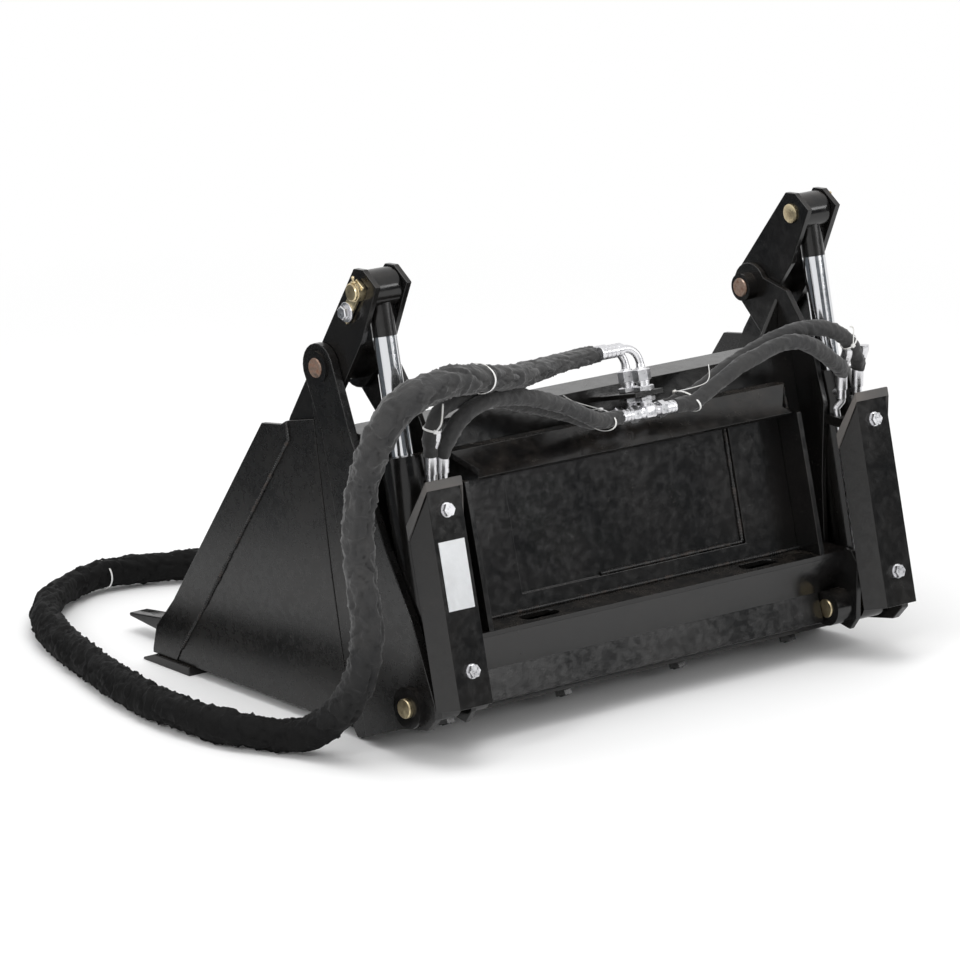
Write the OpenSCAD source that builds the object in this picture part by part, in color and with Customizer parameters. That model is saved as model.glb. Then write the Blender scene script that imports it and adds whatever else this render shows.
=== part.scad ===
// Grapple bucket: a clam-type bucket for a compact skid-steer loader.
// X runs to the operator's right, Y forward to the mouth, Z up from the ground.
// The side profile is worked out from the heel, where Y is zero, and then centred.

/* [Bucket] */
// Width over the outer faces of the ear plates
bucket_w = 1016; // [900:2:1200]
// Depth along the ground from the heel to the tip of the cutting edge
floor_d = 577; // [540:1:620]
// Height of the shell pivot above the ground
pivot_z = 597; // [570:1:630]
// Thickness of the moldboard and of the quick-attach plate
back_t = 8; // [6:0.5:10]
// Thickness of the rear side plates and the shell's side plates
side_t = 8; // [6:0.5:10]
// Thickness of the ear plates
ear_t = 15; // [10:0.5:18]
// Thickness of the shell's floor
floor_t = 8; // [6:0.5:10]
// Side clearance between plates that move past each other
play = 1; // [0.5:0.25:1.5]

/* [Edges and teeth] */
// Width of the cutting edge, front to back
edge_w = 130; // [110:1:150]
// Thickness of the cutting edge
edge_t = 16; // [12:0.5:20]
// Thickness of the side cutters
cutter_t = 10; // [8:0.5:12]
// Number of teeth
tooth_count = 5; // [3:1:6]
// Width of one tooth
tooth_w = 38; // [30:1:50]
// How far a tooth stands out ahead of the cutting edge
tooth_reach = 146; // [120:1:160]
// Height of a tooth at the cutting edge
tooth_h = 40; // [34:1:48]
// Width of the bolt-on rear blade
blade_w = 125; // [115:1:135]
// Thickness of the rear blade
blade_t = 12.5; // [10:0.5:14]
// Slope of the rear blade above the ground, in degrees
blade_slope = 21.8; // [20:0.1:24]
// Thread diameter of the plow bolts
plow_bolt_d = 16; // [12:1:18]

/* [Pins and levers] */
// Diameter of the pivot pins
pivot_pin_d = 32; // [28:1:36]
// Diameter of the cylinder pins
cyl_pin_d = 32; // [28:1:34]
// Radial clearance of a pin in its bore
pin_fit = 0.05; // [0.02:0.01:0.08]
// Clearance of the upper pin in the rod eye
link_play = 10; // [9:0.5:11]
// Distance from the pivot to the upper cylinder pin
lever_l = 165; // [160:1:170]
// Lean of the lever behind the vertical, in degrees
lever_lean = 33; // [31:0.5:35]
// Thickness of the lever plates
lever_t = 10; // [8:0.5:12]
// Gap between the lever plates, where the cylinder sits
clevis_gap = 52; // [50:0.5:58]
// Thickness of the inner ear and inner lug plates
inner_t = 10; // [8:0.5:12]
// Radius of the round top of the ear plates
ear_r = 39; // [36:0.5:44]

/* [Cylinders] */
// Outside diameter of the barrel
barrel_d = 72; // [68:1:73]
// Bore of the barrel
bore_d = 60; // [52:1:62]
// Diameter of the chromed rod
rod_d = 39; // [34:1:42]
// Outside diameter of the gland
gland_d = 72; // [68:1:73]
// Length from the lower pin to the mouth of the gland
barrel_l = 393; // [385:1:400]
// Outside diameter of the eyes
eye_d = 62; // [61:0.5:64]
// Width of the eyes
eye_w = 48; // [44:0.5:49]

/* [Quick attach] */
// Gap between an inner ear plate and the quick-attach side plate beside it
qa_inset = 49; // [38:1:70]
// Height of the quick-attach face above its ledge
qa_h = 265; // [255:1:280]
// Depth of the ledge behind the quick-attach face
ledge_d = 56; // [50:1:62]
// Lean of the quick-attach face ahead of the vertical, in degrees
qa_lean = 14.6; // [13:0.1:16]
// Width of the window in the quick-attach plate
window_w = 480; // [420:2:560]
// Height of the window in the quick-attach plate
window_h = 197; // [180:1:205]
// Length of a lock-pin slot
slot_l = 76; // [60:1:90]
// Width of a lock-pin slot
slot_w = 28; // [22:1:30]
// Distance between the two lock-pin slots
slot_pitch = 470; // [420:2:520]

/* [Covers] */
// Width of a cover's rear face
cover_w = 66; // [60:1:70]
// Length of a cover
cover_l = 363; // [340:1:370]
// Depth of a cover's sides
cover_depth = 38; // [34:1:38]
// How far each side of a cover spreads
cover_flare = 18; // [14:1:19]
// Thickness of the cover sheet
cover_t = 3; // [2:0.5:4]
// Width of the strap round the top of a cover
strap_w = 15; // [12:1:20]
// Thickness of that strap
strap_t = 5; // [4:0.5:6]

/* [Hoses] */
// Outside diameter of the jumper hoses
jumper_d = 19; // [16:0.5:20]
// Diameter of the hose crimps
crimp_d = 20; // [18:0.5:21]
// Outside diameter of the sleeve round the main hoses
sleeve_d = 54; // [46:1:60]

/* [Hidden] */
$fn = 48;
over = 2;

// Places in the side profile as shares of the floor's depth and the pivot's height
function at(s) = [s[0] * floor_d, s[1] * pivot_z];
function outline(shares) = [for (s = shares) at(s)];
function backwards(shares) = [for (i = [len(shares) - 1 : -1 : 0]) at(shares[i])];
arc_steps = 12;
function arc(c, r, ends, steps = arc_steps) = [for (i = [0 : steps])
    let (a = ends[0] + (ends[1] - ends[0]) * i / steps) c + r * [cos(a), sin(a)]];
function unit(v) = v / norm(v);
function left_of(v) = [-v[1], v[0]];
function corner_offset(p, i, t) =
    let (a = unit(i > 0 ? p[i] - p[i - 1] : p[1] - p[0]))
    let (b = unit(i < len(p) - 1 ? p[i + 1] - p[i] : p[i] - p[i - 1]))
    let (n = unit(left_of(a) + left_of(b)))
    p[i] + n * t / (n * left_of(a));
// Outline of a sheet of thickness t, bent along p, with its thickness on the left of the line
function bent_sheet(p, t) = concat(p, [for (i = [len(p) - 1 : -1 : 0]) corner_offset(p, i, t)]);

// Places of the pins
pivot_share = [0.156, 1];
low_pin_share = [-0.263, 0.154];
pivot = at(pivot_share);
low_pin = at(low_pin_share);
up_pin = pivot + lever_l * [-sin(lever_lean), cos(lever_lean)];

// Layers across the width, each from the one outside it
x_ear = bucket_w / 2;
x_in = x_ear - ear_t;
x_arm = x_in - play;
x_side = x_arm + side_t;
x_gap = x_arm - lever_t;
x_lever = x_gap - clevis_gap;
x_plate = x_lever - lever_t - play;
x_inner = x_plate - inner_t;
x_cyl = x_gap - clevis_gap / 2;
x_qa = x_inner - qa_inset;
qa_w = 2 * x_qa;

// Fit of bolts and holes
hole_fit = 0.25;
seam_gap = 2;
rim_share = 0.852;
rim_z = rim_share * pivot_z;
lip_reach = 60;
pocket_shift = 15;
weld_gap = 0.3;

// Shell and blade
blade_dir = [-cos(blade_slope), sin(blade_slope)];
blade_up = [sin(blade_slope), cos(blade_slope)];
bolt_share = 0.52;
bolt_pitch = 246;
head_share = 1.8;
nut_h = 9;
nut_af = 25;
bevel = 32;
nose_t = 4;
seat = 45;

// Quick-attach face: its plane starts at the ledge and leans forward
ledge_z_share = 0.318;
ledge_t = 8;
qa_foot = at([-0.184, ledge_z_share]);
qa_up = [sin(qa_lean), cos(qa_lean)];
qa_ahead = [cos(qa_lean), -sin(qa_lean)];
function on_face(rise, ahead = 0) = qa_foot + qa_up * rise / cos(qa_lean) + qa_ahead * ahead;
qa_side_t = 10;
lip_flat = 18;
lip_seat = 0.7;
lip_drop = 35;
lip_out = 42;
window_rise = 28;
lip_chamfer = 30;
beam_t = 8;
beam_shares = [[-0.234, 0.196], [-0.263, 0.116], [-0.199, 0.086]];

// Cylinder line, from the lower pin to the upper one
cyl_span = norm(up_pin - low_pin);
cyl_lean = atan2(low_pin[0] - up_pin[0], up_pin[1] - low_pin[1]);
cap_start = 42;
cap_h = 18;
gland_h = 39;
neck_l = 77;
piston_h = 40;
piston_room = 14;
piston_from = barrel_l - gland_h - piston_h - piston_room;
rod_fit = 0.05;
slide_fit = 0.1;

// Covers
cover_foot_share = [-0.4315, 0.176];
cover_foot = at(cover_foot_share);
cover_lean = 14.2;
cover_bolt_shares = [0.157, 0.865];
cover_bolt_d = 12;
head_h = 7.5;
head_af = 19;
washer_d = 24;
washer_t = 2.5;
tab_t = 5;
tab_h = 26;
cover_bolt_l = 12;
cover_hole_d = cover_bolt_d + 2 * hole_fit;
id_w = 52;
id_h = 110;
id_t = 1;
id_share = 0.58;

// Everything is drawn from the heel and then centred between its front and back ends
y_front = floor_d + tooth_reach;
bolt_back = cover_foot[0] + cover_l * cover_bolt_shares[0] * sin(cover_lean)
    - (head_h + washer_t) * cos(cover_lean) - head_af / 2 * sin(cover_lean);
y_back = min(cover_foot[0], bolt_back);
y_shift = -(y_front + y_back) / 2;

module placed() { translate([0, y_shift, 0]) children(); }
module on_side(s) { mirror([s > 0 ? 0 : 1, 0, 0]) children(); }
module both() { for (s = [-1, 1]) on_side(s) children(); }
// Flat sheet with its outline in Y and Z, from x0 to x0 + t
module sheet(x0, t) { translate([x0, 0, 0]) rotate([90, 0, 90]) linear_extrude(t) children(); }
module pin(c, x0, x1, r) { translate([x0, c[0], c[1]]) rotate([0, 90, 0]) cylinder(h = x1 - x0, r = r); }
module bore(c, x0, x1, r) { pin(c, x0 - over, x1 + over, r); }
module hex(af, h) { cylinder(h = h, d = af * 2 / sqrt(3), $fn = 6); }
pivot_bore = pivot_pin_d / 2 + pin_fit;
cyl_bore = cyl_pin_d / 2 + pin_fit;

// Moldboard: rim lip, face, bend and the strip that lies on the blade
function blade_top(back, rise = 0) = edge_back(back) + blade_up * (blade_t + rise);
function edge_back(back) = blade_dir * back;
strip_start = 12;
strip_share = 0.78;
rim_rise = rim_z - qa_foot[1];
function board_line(shift) = [
    on_face(rim_rise, back_t + shift) + [lip_reach, 0],
    on_face(rim_rise, back_t + shift),
    on_face(0, back_t + shift),
    blade_top(blade_w * strip_share - shift),
    blade_top(strip_start)];
bolt_foot = edge_back(blade_w * bolt_share);
module at_plow_bolts() {
    for (k = [-1.5, -0.5, 0.5, 1.5])
        translate([k * bolt_pitch, bolt_foot[0], bolt_foot[1]]) rotate([-blade_slope, 0, 0]) children();
}
module plow_holes(h) {
    at_plow_bolts() translate([0, 0, -over]) cylinder(h = h + 2 * over, d = plow_bolt_d + 2 * hole_fit);
}
module moldboard() {
    color([0.05, 0.05, 0.055]) placed() difference() {
        sheet(-x_inner, 2 * x_inner) polygon(bent_sheet(board_line(0), back_t));
        plow_holes(blade_t + back_t);
    }
}
module pocket_plates() {
    color([0.05, 0.05, 0.055]) placed() both()
        sheet(x_plate, x_in - x_plate) polygon(bent_sheet(board_line(pocket_shift), back_t));
}
// Outline of a strip of the quick-attach face, from one rise to another and from one depth to another
function face_strip(low, high, from, to) =
    [on_face(low, from), on_face(high, from), on_face(high, to), on_face(low, to)];
module qa_plate() {
    color([0.05, 0.05, 0.055]) placed() difference() {
        sheet(qa_side_t - x_qa, qa_w - 2 * qa_side_t) polygon(face_strip(0, qa_h, 0, back_t));
        sheet(-window_w / 2, window_w)
            polygon(face_strip(window_rise, window_rise + window_h, -over, back_t + over));
    }
}
side_shares = [[-0.236, 0.481], [-0.17, 0.709]];
side_rise = at(side_shares[1])[1] - qa_foot[1];
module qa_sides() {
    color([0.05, 0.05, 0.055]) placed() both() sheet(x_qa - qa_side_t, qa_side_t)
        polygon(concat([on_face(0, back_t), qa_foot, qa_foot - [ledge_d, 0]], outline(side_shares),
            [on_face(side_rise, back_t)]));
}
lip_foot = on_face(qa_h) + [0, lip_seat];
lip_line = [lip_foot, lip_foot - [lip_flat, 0], lip_foot - [lip_flat + lip_out, lip_drop]];
module qa_lip() {
    color([0.06, 0.06, 0.065]) placed() difference() {
        sheet(-x_qa, qa_w) polygon(bent_sheet(lip_line, -back_t));
        both() translate([x_qa, lip_line[2][0], 0]) rotate([0, 0, 45])
            translate([-lip_chamfer / sqrt(2), -lip_chamfer, 0])
                cube([lip_chamfer * 2, lip_chamfer * 2, pivot_z]);
    }
}
module slot(x, w, l) {
    translate([x, 0, 0]) {
        square([l - w, w], center = true);
        for (s = [-1, 1]) translate([s * (l - w) / 2, 0]) circle(w / 2);
    }
}
module qa_ledge() {
    color([0.06, 0.06, 0.065]) placed() difference() {
        sheet(-x_inner, 2 * x_inner) polygon([qa_foot - [ledge_d, 0], qa_foot, on_face(0, back_t),
            on_face(back_t * sin(qa_lean) - ledge_t, back_t), qa_foot - [ledge_d, ledge_t]]);
        translate([0, qa_foot[0] - ledge_d / 2, qa_foot[1] - ledge_t - over])
            linear_extrude(ledge_t + 2 * over) for (s = [-1, 1]) slot(s * slot_pitch / 2, slot_w, slot_l);
    }
}
beam_line = concat([qa_foot - [ledge_d, ledge_t]], outline(beam_shares));
module lower_beam() {
    color([0.05, 0.05, 0.055]) placed() difference() {
        sheet(-x_inner, 2 * x_inner) polygon(bent_sheet(beam_line, beam_t));
        translate([-x_ear, beam_line[0][0] - over, beam_line[0][1]]) cube([bucket_w, ledge_d, beam_t]);
        both() pin(low_pin, x_inner - low_tube_l - inner_proud - over, x_ear, low_tube_d / 2 + weld_gap);
    }
}
module rear_blade() {
    color([0.05, 0.05, 0.055]) placed() difference() {
        sheet(-x_in, 2 * x_in) polygon([[0, 0], blade_top(0), blade_top(blade_w), edge_back(blade_w)]);
        plow_holes(blade_t);
    }
}
module blade_bolts() {
    color([0.08, 0.08, 0.085]) placed() at_plow_bolts() {
        translate([0, 0, -nut_h - over]) cylinder(h = blade_t + back_t + nut_h + over, d = plow_bolt_d);
        translate([0, 0, blade_t + back_t])
            cylinder(h = over, d1 = plow_bolt_d * head_share, d2 = plow_bolt_d);
        translate([0, 0, -nut_h]) hex(nut_af, nut_h);
    }
}

// Rear side plates, ahead of the ears and up to the shell's seam
seam_shares = [[0.194, 0.849], [0.118, 0.444], [0.026, 0.027]];
ear_front_shares = [[0.14, 0.832], [0.057, 0.526], [0.019, 0.337], [-0.052, 0.02]];
ear_back_shares = [[-0.215, 0.08], [-0.326, 0.101], [-0.364, 0.141], [-0.36, 0.178], [-0.322, 0.255],
    [-0.26, 0.387], [-0.139, 0.568], [0.009, 0.838]];
apex_share = [0.186, 0.89];
apex_r = 7;
// First and last angle of each round corner in the side profile
apex_arc = [0, 150];
ear_arc = [-35, 156];
inner_ear_arc = [-25, 150];
hub_arc = [210, 390];
apex_steps = 6;
module rear_side(s) {
    color([0.05, 0.05, 0.055]) placed() on_side(s) sheet(x_in, side_t - play)
        polygon(concat([for (i = [2 : -1 : 0]) at(seam_shares[i]) - [seam_gap, 0]],
            arc(at(apex_share), apex_r, apex_arc, apex_steps), outline(ear_front_shares),
            [blade_up * seam_gap]));
}
module ear_plate(s) {
    color([0.055, 0.055, 0.06]) placed() on_side(s) difference() {
        sheet(x_in, ear_t) polygon(concat(arc(pivot, ear_r, ear_arc), backwards(ear_back_shares),
            backwards(ear_front_shares)));
        bore(pivot, x_in, x_ear, pivot_bore);
        bore(low_pin, x_in, x_ear, cyl_bore);
    }
}
inner_ear_shares = [[-0.003, 1.013], [-0.069, 0.938], [-0.13, 0.838], [-0.173, 0.72], [-0.17, 0.503],
    [-0.184, 0.318], [-0.104, 0.318], [-0.06, 0.62], [0.052, 0.804], [0.069, 0.845]];
module inner_ear(s) {
    color([0.055, 0.055, 0.06]) placed() on_side(s) difference() {
        sheet(x_inner, inner_t) polygon(concat(arc(pivot, ear_r, inner_ear_arc), outline(inner_ear_shares)));
        bore(pivot, x_inner, x_plate, pivot_bore);
    }
}
lug_shares = [[-0.104, 0.318], [-0.3, 0.318], [-0.327, 0.288], [-0.327, 0.126], [-0.3, 0.09],
    [-0.195, 0.107], [-0.15, 0.095]];
module inner_lug(s) {
    color([0.055, 0.055, 0.06]) placed() on_side(s) difference() {
        sheet(x_inner, inner_t) polygon(outline(lug_shares));
        bore(low_pin, x_inner, x_plate, cyl_bore);
    }
}
pivot_tube_d = 46;
pivot_tube_l = 20;
low_tube_d = 60;
low_tube_l = 35;
ring_wall = 11;
pivot_ring_t = 4;
low_ring_wall = 18;
low_ring_t = 12;
inner_proud = 3;
// Boss tubes inside the inner plates and boss rings outside the ears
module boss(c, x0, x1, r, hole) { difference() { pin(c, x0, x1, r); bore(c, x0, x1, hole); } }
module pin_bosses() {
    color([0.06, 0.06, 0.065]) placed() both() {
        boss(pivot, x_inner - pivot_tube_l, x_inner, pivot_tube_d / 2, pivot_bore);
        boss(low_pin, x_inner - low_tube_l, x_inner, low_tube_d / 2, cyl_bore);
        boss(pivot, x_ear, x_ear + pivot_ring_t, pivot_pin_d / 2 + ring_wall, pivot_bore);
        boss(low_pin, x_ear, x_ear + low_ring_t, cyl_pin_d / 2 + low_ring_wall, cyl_bore);
    }
}
gusset_t = 8;
gusset_w = 42;
gusset_h = 78;
gusset_share = 0.045;
module ear_gussets() {
    color([0.055, 0.055, 0.06]) placed() both() translate([x_inner, gusset_share * floor_d, rim_z])
        rotate([90, 0, 0]) linear_extrude(gusset_t) polygon([[0, 0], [0, gusset_h], [-gusset_w, 0]]);
}

// Covers behind the cylinders, drawn flat from the foot of the rear face and then leaned
module at_cover(s) {
    placed() on_side(s) translate([x_cyl, cover_foot[0], cover_foot[1]])
        rotate([-cover_lean, 0, 0]) children();
}
cover_section = [[cover_w / 2 + cover_flare, cover_depth], [cover_w / 2, 0],
    [-cover_w / 2, 0], [-cover_w / 2 - cover_flare, cover_depth]];
// Each side is cut down at a slope from the top of the rear face
cut_share = 2.2;
cut_deep = cover_depth + over;
cut_back = -strap_t - over;
module cover_cutter() {
    sheet(-bucket_w, 2 * bucket_w) polygon([[0, cover_l], [cut_deep, cover_l - cut_deep * cut_share],
        [cut_deep, cover_l + over], [cut_back, cover_l + over], [cut_back, cover_l]]);
}
module cylinder_cover(s) {
    color([0.045, 0.045, 0.05]) at_cover(s) difference() {
        linear_extrude(cover_l) polygon(bent_sheet(cover_section, -cover_t));
        cover_cutter();
        for (k = cover_bolt_shares) translate([0, -over, cover_l * k]) rotate([-90, 0, 0])
            cylinder(h = cover_t + 2 * over, d = cover_hole_d);
    }
}
strap_reach = 28;
strap_drop = strap_w * sqrt(1 + cut_share * cut_share);
module cover_straps() {
    color([0.07, 0.07, 0.075]) for (s = [-1, 1]) at_cover(s) intersection() {
        linear_extrude(cover_l) polygon(bent_sheet(cover_section, strap_t));
        sheet(-bucket_w, 2 * bucket_w) polygon([[cut_back, cover_l - strap_w], [0, cover_l - strap_w],
            [0, cover_l - strap_drop], [strap_reach, cover_l - strap_reach * cut_share - strap_drop],
            [strap_reach, cover_l - strap_reach * cut_share], [0, cover_l], [cut_back, cover_l]]);
    }
}
// Tabs in the covers: a foot behind the rear face, a leg along the inner side, an arm to the plates
tab_reach = 34;
tab_inset = 4.5;
tab_foot = [cover_w / 2 - cover_t, cover_t];
tab_bend = [tab_inset - cover_w / 2, cover_t];
tab_line = [tab_foot, tab_bend, tab_bend + [-cover_flare / cover_depth, 1] * (tab_reach - cover_t)];
tab_ends = [at(lug_shares[3])[0], at(inner_ear_shares[3])[0]];
module cover_tabs() {
    color([0.05, 0.05, 0.055]) for (s = [-1, 1], k = cover_bolt_shares) at_cover(s) difference() {
        translate([0, 0, cover_l * k - tab_h / 2]) linear_extrude(tab_h)
            polygon(bent_sheet(tab_line, -tab_t));
        translate([0, 0, cover_l * k]) rotate([-90, 0, 0]) cylinder(h = tab_t * 2, d = cover_hole_d);
    }
    color([0.05, 0.05, 0.055]) placed() both()
        for (i = [0, 1]) tab_arm(cover_l * cover_bolt_shares[i], tab_ends[i]);
}
module tab_arm(along, end) {
    c = cover_foot + along * [sin(cover_lean), cos(cover_lean)];
    from = c + (tab_reach - tab_t) * [cos(cover_lean), -sin(cover_lean)];
    translate([x_cyl + tab_line[2][0], from[0], from[1] - tab_h / 2 + tab_t])
        cube([tab_t, end - from[0], tab_h - 2 * tab_t]);
}
module cover_bolt() {
    difference() {
        cylinder(h = washer_t, d = washer_d);
        translate([0, 0, -over]) cylinder(h = washer_t + 2 * over, d = cover_hole_d);
    }
    translate([0, 0, washer_t]) hex(head_af, head_h);
    translate([0, 0, -cover_bolt_l]) cylinder(h = cover_bolt_l + washer_t, d = cover_bolt_d);
}
module cover_bolts() {
    color([0.75, 0.74, 0.7]) for (s = [-1, 1], k = cover_bolt_shares)
        at_cover(s) translate([0, 0, cover_l * k]) rotate([90, 0, 0]) cover_bolt();
}
module blank_plate() {
    color([0.7, 0.7, 0.72]) at_cover(-1)
        translate([-id_w / 2, -id_t, cover_l * id_share - id_h / 2]) cube([id_w, id_t, id_h]);
}

// Pins
pivot_proud = 6;
low_proud = 19;
up_proud = 6;
pin_chamfer = 2;
module round_pin(c, x0, x1, d) {
    pin(c, x0 + pin_chamfer, x1 - pin_chamfer, d / 2);
    translate([x1 - pin_chamfer, c[0], c[1]]) rotate([0, 90, 0])
        cylinder(h = pin_chamfer, d1 = d, d2 = d - pin_chamfer);
    translate([x0, c[0], c[1]]) rotate([0, 90, 0])
        cylinder(h = pin_chamfer, d1 = d - pin_chamfer, d2 = d);
}
module pivot_pins() {
    color([0.45, 0.25, 0.15]) placed() both()
        round_pin(pivot, x_inner - pivot_tube_l - inner_proud, x_ear + pivot_proud, pivot_pin_d);
}
module cylinder_pins() {
    color([0.72, 0.65, 0.45]) placed() both()
        round_pin(low_pin, x_inner - low_tube_l - inner_proud, x_ear + low_proud, cyl_pin_d);
}
head_d = 40;
head_t = 8;
module upper_pins() {
    color([0.72, 0.68, 0.5]) placed() both() {
        round_pin(up_pin, x_lever - lever_t - up_proud, x_arm + pin_chamfer, cyl_pin_d);
        pin(up_pin, x_arm, x_arm + head_t, head_d / 2);
    }
}
keeper_share = 0.27;
keeper_t = 5;
fitting_d = 7;
fitting_l = 15;
module keeper_bolts() {
    c = up_pin + (pivot - up_pin) * keeper_share;
    color([0.75, 0.74, 0.7]) placed() both() {
        pin(c, x_arm, x_arm + washer_t, washer_d / 2);
        translate([x_arm + washer_t, c[0], c[1]]) rotate([0, 90, 0]) hex(head_af, head_h);
        pin(up_pin, x_arm + head_t, x_arm + head_t + fitting_l, fitting_d / 2);
    }
}

// Shell
module shell_floor() {
    color([0.05, 0.05, 0.055]) placed() translate([-x_arm, seam_gap, edge_t])
        cube([2 * x_arm, floor_d - edge_w + seat - seam_gap, floor_t]);
}
front_seam_shares = [[0.849, 0.027], [0.827, 0.065], [0.692, 0.241], [0.305, 0.772], [0.317, 0.821]];
module shell_side(s) {
    color([0.05, 0.05, 0.055]) placed() on_side(s) sheet(x_arm, side_t)
        polygon(concat([at(seam_shares[0]), at(seam_shares[1]), [at(seam_shares[2])[0], edge_t]],
            [[at(front_seam_shares[0])[0], edge_t]], [for (i = [1 : 4]) at(front_seam_shares[i])]));
}
cutter_shares = [[0.965, 0.039], [0.948, 0.109], [0.863, 0.201], [0.43, 0.794], [0.341, 0.807]];
module side_cutter(s) {
    color([0.05, 0.05, 0.055]) placed() on_side(s) sheet(x_arm, cutter_t)
        polygon(concat([[at(front_seam_shares[0])[0], edge_t], [at(cutter_shares[0])[0], edge_t]],
            outline(cutter_shares), [for (i = [4 : -1 : 1]) at(front_seam_shares[i])]));
}
module cutting_edge() {
    color([0.055, 0.055, 0.06]) placed() sheet(-x_ear, bucket_w)
        polygon([[floor_d - edge_w, 0], [floor_d, 0], [floor_d, nose_t], [floor_d - bevel, edge_t],
            [floor_d - edge_w, edge_t]]);
}
// A tooth's side outline: shares of its height at the tip, at its hump and at its tail
tip_shares = [0.32, 0.47];
hump_share = 0.45;
hump_rise_share = 0.72;
tail_share = 0.6;
tooth_in_share = 0.85;
tooth_tail = floor_d - edge_w + seat + seam_gap;
module teeth() {
    x_end = x_ear * tooth_in_share - tooth_w / 2;
    pitch = 2 * x_end / (tooth_count - 1);
    color([0.06, 0.06, 0.065]) placed() for (i = [0 : tooth_count - 1])
        translate([i * pitch - x_end - tooth_w / 2, 0, edge_t]) sheet(0, tooth_w)
            polygon([[tooth_tail, 0], [floor_d, 0], [y_front, tooth_h * tip_shares[0]],
                [y_front, tooth_h * tip_shares[1]],
                [floor_d + tooth_reach * hump_share, tooth_h * hump_rise_share],
                [floor_d, tooth_h], [tooth_tail, tooth_h * tail_share]]);
}

// Levers that stand up from the shell
lever_top_shares = [[0.4, 0.87], [-0.22, 0.92], [-1.11, 0.32]];
lever_margin = 38;
lever_top = [for (s = lever_top_shares) up_pin + s * lever_margin];
lever_back_shares = [[-0.003, 1.087], [0.069, 0.972], [0.139, 0.871], [0.191, 0.787], [0.26, 0.7],
    [0.36, 0.74], [0.321, 0.827]];
hub_margin = 5.5;
module arm_outer(s) {
    color([0.055, 0.055, 0.06]) placed() on_side(s) difference() {
        sheet(x_gap, lever_t) polygon(concat(lever_top, outline(lever_back_shares)));
        bore(pivot, x_gap, x_arm, pivot_bore);
        bore(up_pin, x_gap, x_arm, cyl_bore);
    }
}
module arm_inner(s) {
    color([0.055, 0.055, 0.06]) placed() on_side(s) difference() {
        sheet(x_lever - lever_t, lever_t)
            polygon(concat(lever_top, [at(lever_back_shares[0])], arc(pivot, ear_r + hub_margin, hub_arc)));
        bore(pivot, x_lever - lever_t, x_lever, pivot_bore);
        bore(up_pin, x_lever - lever_t, x_lever, cyl_bore);
    }
}
pivot_sleeve_wall = 12;
module arm_tubes() {
    color([0.06, 0.06, 0.065]) placed() both()
        boss(pivot, x_lever, x_gap, pivot_pin_d / 2 + pivot_sleeve_wall, pivot_bore);
}

// Cylinders, drawn upright from the lower pin and then leaned to the upper pin
module at_cylinder(s) {
    placed() on_side(s) translate([x_cyl, low_pin[0], low_pin[1]]) rotate([cyl_lean, 0, 0]) children();
}
module eye(rise, hole) {
    translate([0, 0, rise]) rotate([0, 90, 0]) difference() {
        cylinder(h = eye_w, d = eye_d, center = true);
        cylinder(h = eye_w + over, r = hole, center = true);
    }
}
module eye_block(from, to) {
    difference() {
        translate([-eye_w / 2, -eye_d / 3, from]) cube([eye_w, eye_d * 2 / 3, to - from]);
        children();
    }
}
module barrel(s) {
    color([0.05, 0.05, 0.055]) at_cylinder(s) {
        eye(0, cyl_bore);
        eye_block(eye_d / 4, cap_start) rotate([0, 90, 0])
            cylinder(h = eye_w + over, d = eye_d - over, center = true);
        difference() {
            translate([0, 0, cap_start]) cylinder(h = barrel_l - gland_h - cap_start, d = barrel_d);
            translate([0, 0, cap_start + cap_h]) cylinder(h = barrel_l, d = bore_d);
        }
    }
}
module gland(s) {
    color([0.055, 0.055, 0.06]) at_cylinder(s) difference() {
        translate([0, 0, barrel_l - gland_h]) cylinder(h = gland_h, d = gland_d);
        translate([0, 0, barrel_l - gland_h - over])
            cylinder(h = gland_h + 2 * over, d = rod_d + 2 * rod_fit);
    }
}
module rod(s) {
    color([0.8, 0.8, 0.82]) at_cylinder(s) translate([0, 0, piston_from + piston_h])
        cylinder(h = cyl_span - neck_l - piston_from - piston_h, d = rod_d);
}
module rod_eye(s) {
    color([0.05, 0.05, 0.055]) at_cylinder(s) {
        eye(cyl_span, cyl_pin_d / 2 + link_play);
        difference() {
            translate([0, 0, cyl_span - neck_l]) cylinder(h = neck_l, d = rod_d);
            translate([0, 0, cyl_span]) rotate([0, 90, 0])
                cylinder(h = eye_w + over, d = eye_d - over, center = true);
        }
    }
}
module piston(s) {
    color([0.6, 0.6, 0.62]) at_cylinder(s) translate([0, 0, piston_from])
        cylinder(h = piston_h, d = bore_d - 2 * slide_fit);
}

// Round tubes swept along points
function spline(p, i, t) =
    let (a = p[max(i - 1, 0)])
    let (b = p[i])
    let (c = p[i + 1])
    let (d = p[min(i + 2, len(p) - 1)])
    (2 * b + (c - a) * t + (2 * a - 5 * b + 4 * c - d) * t * t + (3 * b - a - 3 * c + d) * t * t * t) / 2;
function smooth(p, steps) =
    concat([for (i = [0 : len(p) - 2], k = [0 : steps - 1]) spline(p, i, k / steps)], [p[len(p) - 1]]);
function heading(q, i) = unit(q[min(i + 1, len(q) - 1)] - q[max(i - 1, 0)]);
function square_to(v, t) = unit(v - (v * t) * t);
function normals(q, v, i = 0) = i >= len(q) ? [] :
    let (n = square_to(v, heading(q, i))) concat([n], normals(q, n, i + 1));
side_hint = [0.1, 0.2, 1];
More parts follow.
